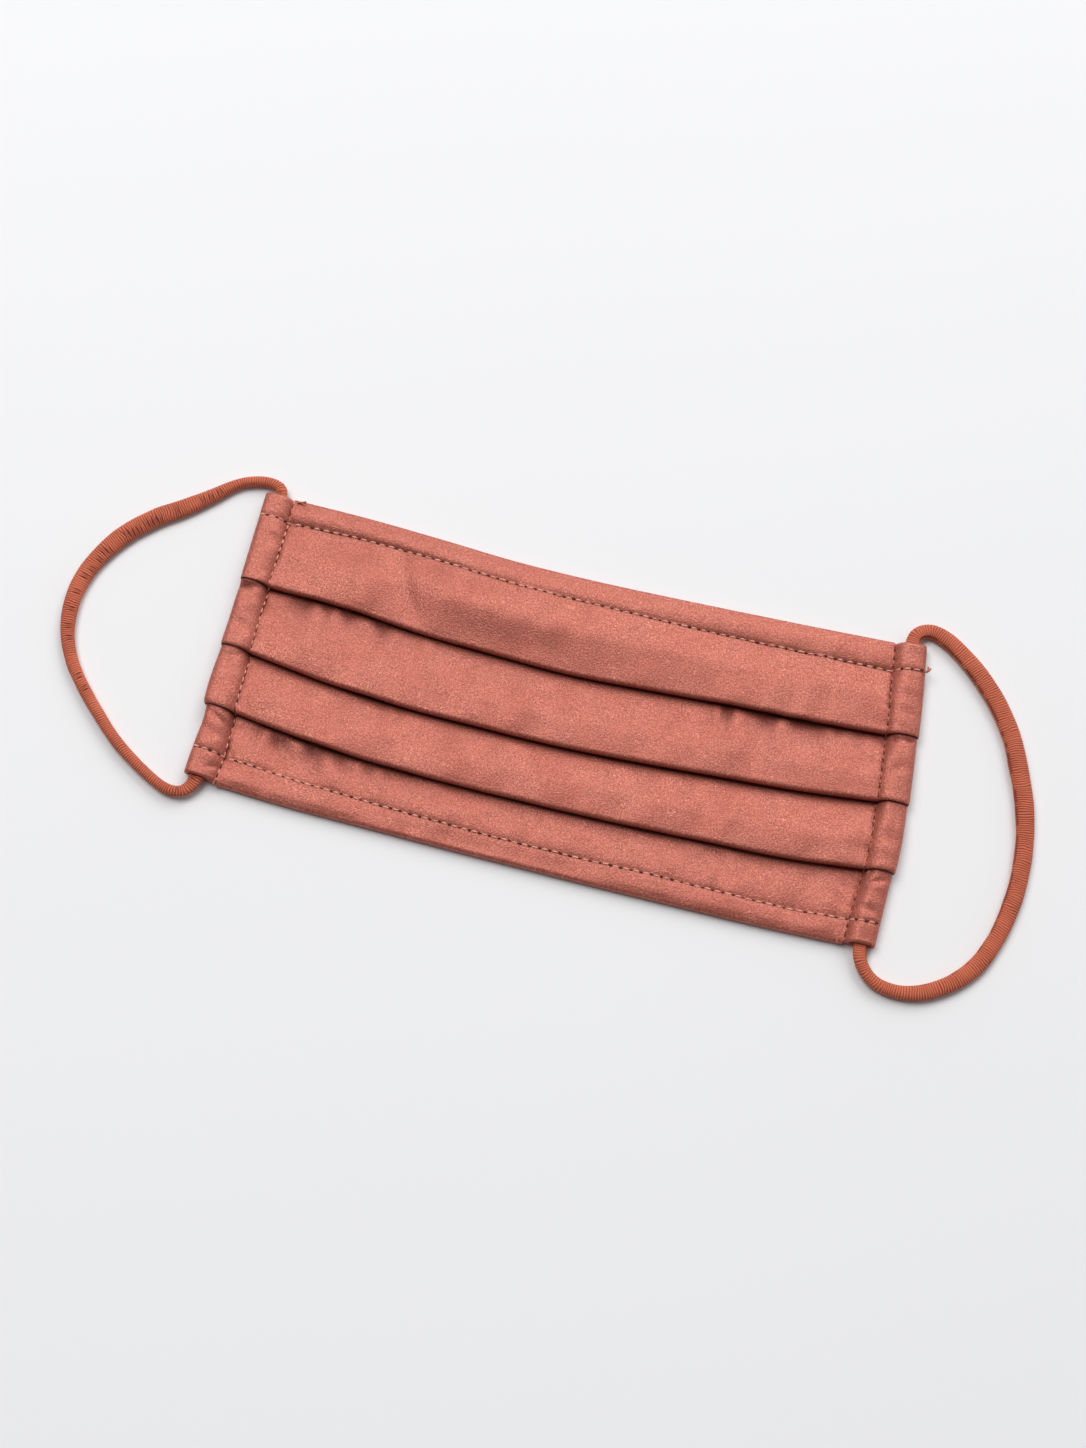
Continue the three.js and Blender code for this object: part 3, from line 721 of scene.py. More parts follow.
def casing_profile(m, side):
    """Lines across a casing from its top to its bottom, as six columns, and its two ends

    The columns are a line's place where the cloth is folded freely, its place where the cloth is
    pressed smooth, its height at the stitches, its rise over the tunnel above the plain cloth,
    how far the outer edge stands out, and its painted shade, from 0 to 1, full deep in a fold.
    """
    across = float(side)
    edges = [float(line_at(m, name, across)) for name in ("top", *FOLDS, "bottom")]
    radius = m.cloth + m.layer_gap / 2
    high, low = level(m, 2) + m.cloth / 2, level(m, 1) - m.cloth / 2
    lines = []
    for band in range(LAST_BAND + 1):
        upper, lower = edges[band], edges[band + 1]
        first, last = band_levels(band)
        start, end = band_climb(m, band, across, upper, lower)
        folded = band < LAST_BAND
        step = EDGE_STEPS[side][band] if folded else 0.0
        for share in np.linspace(0, 1, CASING_BAND_SAMPLES):
            y = mix(upper, lower + (radius if folded else 0.0), share)
            climbed = ease((start - y) / (start - end))
            near = mix(level(m, first), level(m, last), climbed) + m.cloth / 2
            rise = m.pleat_step * share if folded else 0.0
            # Painted shade just under the fold above
            deep = math.exp(-(upper - y) / (0.6 * MM)) if band else 0.0
            lines.append((y, y, near, rise, step * share, deep))
        if folded:
            # Lines turning under the fold, whose painted shade grows as they turn, then the crease in full
            # painted shade
            for angle in np.linspace(0, np.pi, 8)[1:]:
                under = (1 - math.cos(angle)) / 2
                y = lower + radius * (1 - math.sin(angle))
                rise = mix(m.pleat_step, CREASE_GAP, under)
                flat_y = lower + 0.3 * MM * (1 - under)
                lines.append((y, flat_y, mix(high, low, under), rise, step * (1 - under), under))
            inner = lower + CREASE_DEPTH
            lines.append((inner, lower, low, CREASE_GAP, 0.0, 1.0))
            lines.append((inner, lower - 0.05 * MM, level(m, 0) + m.cloth / 2, 0.0, 0.0, 1.0))
    return np.array(lines, float).T[:, :, None], edges[0], edges[-1]


def casing_outline():
    """Places round a casing's section: share across, share up, and how free the cloth is"""
    places = [(share, 1.0, 1.0) for share in np.linspace(0, ROUND_START, 26)]
    for angle in np.radians(np.linspace(90, -90, 20)[1:-1]):
        c, s = math.cos(angle), math.sin(angle)
        across = ROUND_START + (1 - ROUND_START) * abs(c) ** 0.75
        up = 0.5 + 0.5 * math.copysign(abs(s) ** 0.8, s)
        places.append((across, up, max(0.0, min(1.0, 1.15 * s + 0.35))))
    places += [(share, 0.0, 0.0) for share in np.linspace(ROUND_START, 0, 10)]
    places += [(0.0, share, share) for share in (0.35, 0.7)]
    return np.array(places).T[:, None, :]


def tunnel_middle(m, side, y):
    return side_at(m, side, y) + side * (casing_width_at(m, side, y) - m.cloth - tunnel_size(m)[0] / 2)


def casing_relief(m, side, x, y, away, rake, share, width):
    """Fine unevenness of a casing's front: waves, stitch grooves and dents"""
    fine = 0.1 * MM * waves(x, y, 10, 7, 20, seed=51 + side)
    fine += 0.1 * MM * waves(0.3 * x, y, 8, 4, 9, seed=61 + side) * (1 - 0.6 * share)
    fine += 0.07 * MM * puckers(m, y, away, 1.6 * MM) - SEAM_GROOVE * bell(away, 0.75 * MM)
    for row in CASING_DENTS:
        if row["side"] == side:
            sideways = (share - row["across"]) * width
            lengthways = y - row["at"] * m.panel_height - row["lean"] * MM * (share - row["across"])
            fit = bell(sideways, row["wide"] * MM) * bell(lengthways, row["high"] * MM)
            fine = fine - row["deep"] * MM * fit
    for hem in ("top", "bottom"):
        from_row = y - hem_row(m, hem, float(side)) - rake
        fine = fine - 0.35 * MM * bell(from_row, 0.7 * MM) + 0.06 * MM * puckers(m, x, from_row, 1.4 * MM)
    return fine


def build_casing(m, side, name):
    """One casing, a tunnel of cloth whose front is folded at the pleats, with its flat size"""
    (free_y, flat_y, near, rise, step, depth), top, bottom = casing_profile(m, side)
    share, up, free = casing_outline()
    tunnel_width, tunnel_height = tunnel_size(m)
    height = tunnel_height + 2 * m.cloth
    along = (flat_y - bottom) / (top - bottom)
    rake = mix(MOUTH_RAKES[side]["bottom"], MOUTH_RAKES[side]["top"], along) * share
    y = mix(flat_y, free_y, free) + rake
    width = casing_width_at(m, side, flat_y)
    stitches = side_at(m, side, y - rake) + side * SEAM_GAP / 2
    x = stitches + side * (share * width + step * ease((share - 0.6) / 0.4))
    drawn = 1 - (1 - np.clip(share / 0.55, 0, 1)) ** 2.4
    crown = height - CASING_SLANT[side] * np.clip((share - 0.3) / 0.7, 0, 1) ** 1.5
    fine = casing_relief(m, side, x, y, np.abs(x - stitches), rake, share, width)
    z = up * mix(near, crown + rise, drawn) + fine * free
    mouth = np.minimum(top - flat_y, flat_y - bottom)
    rounded = 0.4 * MM * (1 - np.sqrt(np.clip(mouth / (0.5 * MM), 0, 1)))
    z = np.where(up > 0.5, z - rounded, z)
    outer = np.stack(np.broadcast_arrays(x, y, np.maximum(z, 0)), axis=-1)
    middle_x, middle_z = tunnel_middle(m, side, flat_y), m.cloth + tunnel_height / 2
    turn = np.arctan2(up * height - middle_z, (stitches + side * share * width - middle_x) * side)

    def squared(value):
        return np.sign(value) * np.abs(value) ** (2 / TUNNEL_POWER)

    tunnel_x = middle_x + side * tunnel_width / 2 * squared(np.cos(turn))
    tunnel_z = middle_z + tunnel_height / 2 * squared(np.sin(turn))
    inner = np.stack(np.broadcast_arrays(tunnel_x, flat_y + rake, tunnel_z), axis=-1)
    round_steps = np.linalg.norm(np.diff(outer, axis=1), axis=-1)
    flat_u = np.hstack([0 * round_steps[:, :1], np.cumsum(round_steps, axis=1)])
    down_steps = np.hypot(np.diff(free_y, axis=0), np.diff(rise, axis=0))
    flat_v = np.vstack([[[0.0]], np.cumsum(down_steps, axis=0)]) + 0 * flat_u
    # Painted shade in the deepest dents, added to the painted shade of the folds
    pocket_shade = np.clip((-fine - 0.55 * MM) / (0.3 * MM), 0, 1)
    deep = np.clip(depth + pocket_shade, 0, 1) * free
    made = cloth_wall(name, inner, outer, flat_u, flat_v, deep, looped=True)
    return made, (float(flat_u[:, -1].mean()), float(flat_v[-1, 0]))


# Ear loops

LOOP_RINGS = 1800
LOOP_SIDES = 28
# How boxy the loop's oval is: 1 is an ellipse, and less is boxier
LOOP_POWER = 0.9


def closed_curve(points, count):
    """Even places on a closed centripetal curve, their place in the list, and its length"""
    before, after, beyond = (np.roll(points, -step, axis=0) for step in (-1, 1, 2))
    pairs = ((before, points), (points, after), (after, beyond))
    a, b, c = (np.linalg.norm(end - start, axis=1)[:, None] ** 0.5 for start, end in pairs)
    leave = b * ((points - before) / a - (after - before) / (a + b) + (after - points) / b)
    arrive = b * ((after - points) / b - (beyond - points) / (b + c) + (beyond - after) / c)
    cubic = 2 * (points - after) + leave + arrive
    square = 3 * (after - points) - 2 * leave - arrive
    s = np.linspace(0, 1, 40, endpoint=False)[:, None]
    fine = np.concatenate([
        points[k] + s * (leave[k] + s * (square[k] + s * cubic[k])) for k in range(len(points))
    ])
    closed = np.vstack([fine, fine[:1]])
    run = np.concatenate([[0], np.cumsum(np.linalg.norm(np.diff(closed, axis=0), axis=1))])
    wanted = np.linspace(0, run[-1], count, endpoint=False)
    even = np.stack([np.interp(wanted, run, closed[:, k]) for k in range(3)], axis=1)
    return even, np.interp(wanted, run, np.arange(len(closed)) / len(s)), float(run[-1])


def softened(values, reach):
    """Values round a closed ring, averaged over their neighbours"""
    kernel = np.hanning(2 * reach + 1)
    return np.convolve(np.pad(values, reach, mode="wrap"), kernel / kernel.sum(), mode="valid")


def loop_route(m, side, route):
    """The points that an ear loop follows, with its width and thickness at each"""
    middle = m.cloth + tunnel_size(m)[1] / 2
    rows = np.array(route) * (MM, MM, MM, m.loop_width, m.loop_thickness)
    y = np.array(HIDDEN_STEPS) * m.panel_height
    hidden = (tunnel_middle(m, side, y), y, middle, HIDDEN_WIDE * m.loop_width, m.pressed_thickness)
    return np.vstack([rows, np.stack(np.broadcast_arrays(*hidden), axis=1)])


def build_loop(m, side, route, name):
    """One ear loop as a smooth oval ring, with the attributes that its gathers need"""
    rows = loop_route(m, side, route)
    places, at, total = closed_curve(rows[:, :3], LOOP_RINGS)
    numbers = np.arange(len(rows) + 1)
    width, tall = (
        softened(np.interp(at, numbers, np.append(rows[:, k], rows[0, k])), LOOP_RINGS // 60)[:, None]
        for k in (3, 4)
    )
    ahead = np.roll(places, -1, axis=0) - np.roll(places, 1, axis=0)
    ahead /= np.linalg.norm(ahead, axis=1)[:, None]
    across = np.stack([-ahead[:, 1], ahead[:, 0], 0 * ahead[:, 0]], axis=1)
    across /= np.linalg.norm(across, axis=1)[:, None]
    upward = np.cross(ahead, across)
    angle = np.linspace(0, 2 * np.pi, LOOP_SIDES, endpoint=False)[None, :]
    sideways, rising = (np.sign(way) * np.abs(way) ** LOOP_POWER for way in (np.cos(angle), np.sin(angle)))
    ring = places[:, None] + across[:, None] * (width / 2 * sideways)[..., None]
    ring = (ring + upward[:, None] * (tall / 2 * rising)[..., None]).reshape(-1, 3)
    corners = np.pad(np.arange(len(ring)).reshape(LOOP_RINGS, LOOP_SIDES), ((0, 1), (0, 1)), mode="wrap")
    along = np.linspace(0, total, LOOP_RINGS, endpoint=False)[:, None] + 0 * angle
    flat = np.stack([(width + tall) / 2 * angle, along], axis=-1).reshape(-1, 2)
    values = {"along": along, "around": angle + 0 * along, "fullness": width / m.loop_width + 0 * angle}
    faces = np.roll(quads(corners), -1, axis=1)
    return cloth_object(name, ring, faces, flat, values), places, total


# Node trees


class Value:
    """A socket that takes part in plain arithmetic"""

    def __init__(self, kit, socket):
        self.kit = kit
        self.socket = socket

    def __add__(self, other):
        return self.kit.maths("ADD", self, other)

    def __sub__(self, other):
        return self.kit.maths("SUBTRACT", self, other)

    def __rsub__(self, other):
        return self.kit.maths("SUBTRACT", other, self)

    def __mul__(self, other):
        return self.kit.maths("MULTIPLY", self, other)

    def __truediv__(self, other):
        return self.kit.maths("DIVIDE", self, other)

    def __rtruediv__(self, other):
        return self.kit.maths("DIVIDE", other, self)

    def __pow__(self, other):
        return self.kit.maths("POWER", self, other)


class Tree:
    """Adds nodes and links to a node tree"""

    def __init__(self, tree):
        self.tree = tree

    def node(self, kind, inputs=None, **settings):
        made = self.tree.nodes.new(kind)
        for key, value in settings.items():
            setattr(made, key, value)
        for key, value in (inputs or {}).items():
            self.feed(value, made.inputs[key])
        return made

    def feed(self, value, socket):
        if isinstance(value, Value):
            self.tree.links.new(value.socket, socket)
        else:
            socket.default_value = value

    def out(self, kind, inputs=None, output=0, **settings):
        """A new node's output, ready for arithmetic"""
        return Value(self, self.node(kind, inputs, **settings).outputs[output])

    def maths(self, operation, *values):
        return self.out("ShaderNodeMath", dict(enumerate(values)), operation=operation)

    def vector(self, operation, first, second):
        """Second is a vector, or for SCALE a plain value"""
        inputs = {0: first, ("Scale" if operation == "SCALE" else 1): second}
        return self.out("ShaderNodeVectorMath", inputs, operation=operation)

    def mixed(self, share, first, second):
        """A colour between two others"""
        return self.out("ShaderNodeMix", {"Factor": share, 6: first, 7: second}, 2, data_type="RGBA")

    def bump(self, height, strength, distance):
        return self.out("ShaderNodeBump", {"Height": height, "Strength": strength, "Distance": distance})


def new_tree(kind, name, inputs, outputs):
    """A node group with named sockets, as its kit, its inputs ready for arithmetic and its output"""
    tree = bpy.data.node_groups.new(name, kind)
    for way, sockets in (("INPUT", inputs), ("OUTPUT", outputs)):
        for label, socket in sockets.items():
            tree.interface.new_socket(label, in_out=way, socket_type="NodeSocket" + socket)
    kit = Tree(tree)
    given = {socket.name: Value(kit, socket) for socket in kit.node("NodeGroupInput").outputs}
    return kit, given, kit.node("NodeGroupOutput")


def new_geometry_tree(name, lengths, **others):
    """A geometry tree whose inputs are its geometry, some lengths and others of a stated kind"""
    inputs = {"Geometry": "Geometry", **{label: "Float" for label in lengths}, **others}
    return new_tree("GeometryNodeTree", name, inputs, {"Geometry": "Geometry"})


def dressed(kit, geometry, material):
    """Geometry made real, with its material"""
    real = kit.out("GeometryNodeRealizeInstances", {"Geometry": geometry})
    return kit.out("GeometryNodeSetMaterial", {"Geometry": real, "Material": material})


def stitch_tree():
    """Stitches at an even pitch along a curve, each a short arched thread between needle holes"""
    kit, given, output = new_geometry_tree(
        "stitches along a seam",
        ("Pitch", "Stitch Length", "Thread", "Lift", "Hole Length", "Hole Width", "Wander"),
        Seed="Int", Sewing="Material", Hole="Material",
    )
    points = kit.node(
        "GeometryNodeCurveToPoints", {"Curve": given["Geometry"], "Length": given["Pitch"]}, mode="LENGTH"
    )
    tangent = Value(kit, points.outputs["Tangent"])
    turned = kit.out("FunctionNodeAlignRotationToVector", {"Vector": tangent}, axis="X")
    lift = kit.out("ShaderNodeCombineXYZ", {"Z": given["Lift"]})
    joined = kit.node("GeometryNodeJoinGeometry")
    for material, long, wide, flatness, shift, seed_step in (
        ("Sewing", "Stitch Length", "Thread", 0.95, 0.0, 0),
        # The needle holes: flattened dark beads, painted shade where the holes lie in shade
        ("Hole", "Hole Length", "Hole Width", 0.45, 0.5, 7),
    ):
        limits = {"Min": (-1.0,) * 3, "Max": (1.0,) * 3, "Seed": given["Seed"] + seed_step}
        jitter = kit.out("FunctionNodeRandomValue", limits, data_type="FLOAT_VECTOR")
        ahead = kit.vector("SCALE", tangent, given["Pitch"] * shift)
        offset = kit.vector("ADD", kit.vector("SCALE", jitter, given["Wander"]), ahead)
        placed = kit.out("GeometryNodeSetPosition", {
            "Geometry": Value(kit, points.outputs["Points"]), "Offset": kit.vector("ADD", offset, lift),
        })
        ball = kit.out("GeometryNodeMeshUVSphere", {"Segments": 10, "Rings": 7, "Radius": 0.5})
        size = {"X": given[long], "Y": given[wide], "Z": given[wide] * flatness}
        stretch = kit.out("ShaderNodeCombineXYZ", size)
        shaped = kit.out("GeometryNodeTransform", {"Geometry": ball, "Scale": stretch})
        instances = kit.out("GeometryNodeInstanceOnPoints", {
            "Points": placed,
            "Instance": kit.out("GeometryNodeSetShadeSmooth", {"Geometry": shaped}),
            "Rotation": turned,
            "Scale": kit.vector("ADD", kit.vector("SCALE", jitter, 0.22), (1.0, 1.0, 1.0)),
        })
        kit.feed(dressed(kit, instances, given[material]), joined.inputs[0])
    kit.feed(Value(kit, joined.outputs[0]), output.inputs[0])
    return kit.tree


def gather_tree():
    """Fine ribs across a gathered loop, a dashed seam along it and a few open slits"""
    kit, given, output = new_geometry_tree(
        "gathers across a loop",
        (
            "Rib Pitch", "Rib Depth", "Wander", "Unevenness", "Slit Depth", "Slit Share",
            "Seam Angle", "Seam Depth",
        ),
        Seed="Int", Material="Material",
    )
    place = kit.out("GeometryNodeInputPosition")

    def read(name):
        return kit.out("GeometryNodeInputNamedAttribute", {"Name": name}, data_type="FLOAT")

    def noise(scale, detail):
        values = {"Vector": place, "W": given["Seed"], "Scale": scale, "Detail": detail}
        return kit.out("ShaderNodeTexNoise", values, noise_dimensions="4D")

    def hump(away, sharpness):
        return kit.maths("EXPONENT", away * away * -sharpness)

    def swing(turns):
        return kit.maths("ABSOLUTE", kit.maths("SINE", turns * math.pi))

    def capped(value, limit):
        return kit.maths("MINIMUM", value, limit)

    around = read("around")
    phase = read("along") / given["Rib Pitch"] + noise(260.0, 2.0) * given["Wander"]
    wave = swing(phase)
    full = capped(read("fullness"), 1.1) ** 1.5
    strength = noise(150.0, 1.0) * 1.2 + 0.4
    ribs = (wave**0.7 - 0.65) * full * strength * given["Rib Depth"]
    uneven = (noise(110.0, 1.0) - 0.5) * given["Unevenness"]
    group = kit.maths("FLOOR", phase * 0.5)
    chance = kit.out("ShaderNodeTexWhiteNoise", {"W": group}, "Value", noise_dimensions="1D")
    chosen = kit.maths("GREATER_THAN", chance * full, 1.0 - given["Slit Share"])
    slit_away = around - (given["Seam Angle"] + chance * 0.8)
    slits = chosen * (1.0 - swing(phase * 0.5)) ** 1.7 * hump(slit_away, 5.0)
    seam_line = hump(around - given["Seam Angle"], 110.0)
    dashes = kit.maths("GREATER_THAN", noise(300.0, 0.0), 0.45)
    inward = slits * given["Slit Depth"] + seam_line * (dashes * 0.65 + 0.35) * given["Seam Depth"]
    normal = kit.out("GeometryNodeInputNormal")
    target = kit.vector("ADD", place, kit.vector("SCALE", normal, ribs + uneven - inward))
    above_floor = kit.vector("MAXIMUM", target, (-1.0, -1.0, 0.0))
    moved = kit.out("GeometryNodeSetPosition", {"Geometry": given["Geometry"], "Position": above_floor})
    # Painted shade, kept for the material: dark between the ribs, in open slits and along the seam's dashes
    shade = (1.0 - wave) ** 0.75 * strength
    seam_shade = seam_line * dashes * (given["Seam Depth"] / (0.3 * MM))
    for other in (capped(slits * 5.0, 1.0), capped(seam_shade, 0.95)):
        shade = kit.maths("MAXIMUM", shade, other)
    values = {"Geometry": moved, "Name": "hollow", "Value": shade}
    stored = kit.out("GeometryNodeStoreNamedAttribute", values, data_type="FLOAT", domain="POINT")
    kit.feed(dressed(kit, stored, given["Material"]), output.inputs[0])
    return kit.tree


def thread_tree():
    """A round thread along a curve"""
    kit, given, output = new_geometry_tree("thread along a curve", ("Thread",), Material="Material")
    ring = kit.out("GeometryNodeCurvePrimitiveCircle", {"Resolution": 8, "Radius": given["Thread"] * 0.5})
    shape = {"Curve": given["Geometry"], "Profile Curve": ring, "Fill Caps": True}
    smooth = kit.out("GeometryNodeSetShadeSmooth", {"Geometry": kit.out("GeometryNodeCurveToMesh", shape)})
    kit.feed(dressed(kit, smooth, given["Material"]), output.inputs[0])
    return kit.tree


def shape_with(made, tree, settings):
    """Runs a geometry tree on an object and returns the plain mesh that it gives"""
    modifier = made.modifiers.new(tree.name, "NODES")
    modifier.node_group = tree
    for item in tree.interface.items_tree:
        if item.in_out == "INPUT" and item.name in settings:
            modifier[item.identifier] = settings[item.name]
    bpy.context.view_layer.update()
    graph = bpy.context.evaluated_depsgraph_get()
    mesh = bpy.data.meshes.new_from_object(made.evaluated_get(graph), depsgraph=graph)
    name, old = made.name, made.data
    bpy.data.objects.remove(made)
    (bpy.data.curves if isinstance(old, bpy.types.Curve) else bpy.data.meshes).remove(old)
    mesh.name = name
    return add_object(name, mesh)


# Materials


def crepe_group():
    """Crepe grain: thin raised lines like worm tracks over fine pebbles, with a slow mottle"""
    kit, given, output = new_tree(
        "ShaderNodeTree", "crepe grain",
        {"Place": "Vector", "Grain Size": "Float", "Weave Size": "Float"},
        {"Height": "Float", "Grain": "Float", "Mottle": "Float"},
    )
    size = given["Grain Size"]

    def noise(width, detail, distortion):
        values = {"Vector": given["Place"], "Scale": 1.0 / width, "Detail": detail, "Distortion": distortion}
        return kit.out("ShaderNodeTexNoise", values)

    def spread(value, low, high, start=0.0, end=1.0):
        limits = {"Value": value, "From Min": low, "From Max": high, "To Min": start, "To Max": end}
        return kit.out("ShaderNodeMapRange", limits, interpolation_type="SMOOTHSTEP")

    off_track = kit.maths("ABSOLUTE", noise(size * 2.0, 0.0, 1.6) - 0.5)
    patches = spread(noise(size * 5.0, 1.0, 0.0), 0.38, 0.62, 0.25, 1.0)
    line = spread(off_track, 0.0, 0.055, 1.0, 0.0) * patches
    pebble = spread(noise(size * 0.5, 1.5, 0.5), 0.3, 0.7)
    weave = noise(given["Weave Size"], 1.0, 0.0)
    kit.feed(line * 0.55 + pebble * 0.5 + weave * 0.3, output.inputs["Height"])
    kit.feed(line * 0.4 + pebble * 0.6, output.inputs["Grain"])
    kit.feed(noise(size * 14.0, 3.0, 0.4), output.inputs["Mottle"])
    return kit.tree


def tinted(linear, *scales):
    """A colour with its channels scaled, all by one scale or each by its own, and full opacity"""
    scales = scales if len(scales) == 3 else scales * 3
    return tuple(min(1.0, channel * scale) for channel, scale in zip(linear, scales)) + (1.0,)


def new_material(name, **uniform):
    """A material with its kit and its shader's inputs, and the uniform ones set"""
    material = bpy.data.materials.new(name)
    material.use_nodes = True
    shader = material.node_tree.nodes["Principled BSDF"]
    for key, value in uniform.items():
        shader.inputs[key.replace("_", " ")].default_value = value
    return material, Tree(material.node_tree), shader.inputs


def grain_of(kit, grain_size, weave_size):
    """The outputs of the crepe grain on the flat cloth"""
    tree = bpy.data.node_groups.get("crepe grain") or crepe_group()
    node = kit.node("ShaderNodeGroup", node_tree=tree)
    sizes = {"Grain Size": grain_size, "Weave Size": weave_size}
    for key, value in {"Place": kit.out("ShaderNodeUVMap", uv_map="cloth"), **sizes}.items():
        kit.feed(value, node.inputs[key])
    return [Value(kit, node.outputs[key]) for key in ("Height", "Grain", "Mottle")]


def satin_material(name, linear):
    """Coral satin with a crepe grain, a soft sheen, painted shade in its folds and painted sheen on its
    grain
    """
    material, kit, shader = new_material(
        name, Metallic=0.38, Sheen_Weight=0.04, Sheen_Roughness=0.4, Sheen_Tint=(1.0, 0.7, 0.6, 1.0)
    )
    shader["Specular IOR Level"].default_value = 0.45
    height, grain, mottle = grain_of(kit, 1.0 * MM, 0.28 * MM)
    # The grain's light tone is paler as well as lighter: the crepe's own grain with a painted sheen on its
    # raised lines
    fine = kit.mixed(grain, tinted(linear, 0.68), tinted(linear, 1.27, 1.65, 1.72))
    # Slow darker, redder patches: random tone in part, and in part painted shade where the satin's sheen is
    # weaker
    limits = {"Value": mottle, "From Min": 0.35, "From Max": 0.65, "To Max": 0.3}
    mottled = kit.mixed(kit.out("ShaderNodeMapRange", limits), fine, tinted(linear, 0.8, 0.66, 0.62))
    # Painted shade: the deep attribute darkens the colour in folds, under lips, in ripple pockets and dents,
    # and along the hem rows
    deep = kit.out("ShaderNodeAttribute", output="Fac", attribute_name="deep", attribute_type="GEOMETRY")
    kit.feed(kit.mixed(deep * 0.85, mottled, tinted(linear, 0.3, 0.2, 0.18)), shader["Base Color"])
    kit.feed(0.5 - grain * 0.11, shader["Roughness"])
    kit.feed(kit.bump(height, 1.0, 0.09 * MM), shader["Normal"])
    return material


def elastic_material(name, linear):
    """Gathered matte cloth over elastic, with painted shade between its gathers, in its slits and seam"""
    material, kit, shader = new_material(name, Roughness=0.72, Sheen_Weight=0.1, Sheen_Roughness=0.5)
    height, grain, _ = grain_of(kit, 0.55 * MM, 0.2 * MM)
    fine = kit.mixed(grain, tinted(linear, 0.82), tinted(linear, 1.2))
    hollow = kit.out("ShaderNodeAttribute", output="Fac", attribute_name="hollow", attribute_type="GEOMETRY")
    # Painted shade: the gathers' stored shade darkens the colour towards a deep red-brown
    limits = {"Value": hollow, "From Min": 0.1, "From Max": 0.9, "To Max": 0.95}
    depth = kit.out("ShaderNodeMapRange", limits)
    kit.feed(kit.mixed(depth, fine, tinted(linear, 0.26, 0.13, 0.1)), shader["Base Color"])
    kit.feed(kit.bump(height, 0.9, 0.06 * MM), shader["Normal"])
    return material


def speckled_material(name, linear, scale, detail, dark, light, roughness):
    """A material whose colour wavers between a darker and a lighter tone"""
    material, kit, shader = new_material(name, Roughness=roughness)
    place = kit.out("ShaderNodeTexCoord", output="Object")
    speckle = kit.out("ShaderNodeTexNoise", {"Vector": place, "Scale": scale, "Detail": detail})
    kit.feed(kit.mixed(speckle, tinted(linear, dark), tinted(linear, light)), shader["Base Color"])
    return material, kit, shader, speckle


def thread_material(name, linear):
    """Twisted sewing thread with a faint gloss"""
    material, kit, shader, twist = speckled_material(name, linear, 5200.0, 1.0, 0.75, 1.3, 0.45)
    kit.feed(kit.bump(twist, 0.5, 0.03 * MM), shader["Normal"])
    return material


def hole_material(name, linear):
    """Painted shade for a needle hole, on the dark bead that stands in it"""
    return speckled_material(name, linear, 4000.0, 2.0, 0.5, 1.8, 0.95)[0]


def floor_material(name, linear):
    """Smooth pale paper"""
    return speckled_material(name, linear, 2.0, 2.0, 0.985, 1.01, 0.85)[0]


# The maker of each material, and the colour that it takes
MATERIALS = {
    "coral_satin": (satin_material, "satin"),
    "gathered_cloth": (elastic_material, "elastic"),
    "sewing_thread": (thread_material, "thread"),
    "seam_thread": (thread_material, "seam_thread"),
    "needle_hole": (hole_material, "needle_hole"),
    "pale_floor": (floor_material, "floor"),
}


def material_of(name):
    """One of the mask's materials, made the first time that it is asked for"""
    maker, key = MATERIALS[name]
    linear = tuple(getattr(bpy.context.scene.mask_colours, key))
    return bpy.data.materials.get(name) or maker(name, linear)


def soft_room(bright_side):
    """A world that is bright on one side and dim on the other, like a room with a big window"""
    world = bpy.data.worlds.new("soft_room")
    world.use_nodes = True
    kit = Tree(world.node_tree)
    ways = {0: kit.out("ShaderNodeTexCoord", output="Object"), 1: tuple(bright_side)}
    facing = kit.out("ShaderNodeVectorMath", ways, "Value", operation="DOT_PRODUCT")
    limits = {"Value": facing, "From Min": -0.2, "From Max": 0.9, "To Min": 0.12, "To Max": 0.8}
    background = world.node_tree.nodes["Background"].inputs
    kit.feed(kit.out("ShaderNodeMapRange", limits, interpolation_type="SMOOTHSTEP"), background["Strength"])
    kit.feed((0.97, 0.98, 1.0, 1.0), background["Color"])
    return world


# Stitch rows

# From the outer edge of a casing to the first stitch of a hem
ROW_INSET = 1.1 * MM


def satin_surface():
    """All the satin pieces as one tree for finding their surface"""
    joined = bmesh.new()
    for name in ("pleated_panel_cloth", "casing_left_cloth", "casing_right_cloth"):
        joined.from_mesh(bpy.data.objects[name].data)
    surface = BVHTree.FromBMesh(joined)
    joined.free()
    return surface


def surface_points(surface, places):
    """Points on the satin under a row of places, at heights smoothed as a taut thread lies"""
    hits = [surface.ray_cast(Vector((x, y, 50 * MM)), Vector((0, 0, -1)))[0] for x, y in places]
    points = [hit for hit in hits if hit is not None]
    heights = np.pad([point.z for point in points], 3, mode="edge")
    for point, height in zip(points, np.convolve(heights, np.ones(7) / 7, mode="valid")):
        point.z = float(height)
    return points


def seam_curve(name, points):
    curve = bpy.data.curves.new(name, "CURVE")
    curve.dimensions = "3D"
    spline = curve.splines.new("POLY")
    spline.points.add(len(points) - 1)
    for point, place in zip(spline.points, points):
        point.co = (*place, 1.0)
    return add_object(name, curve)


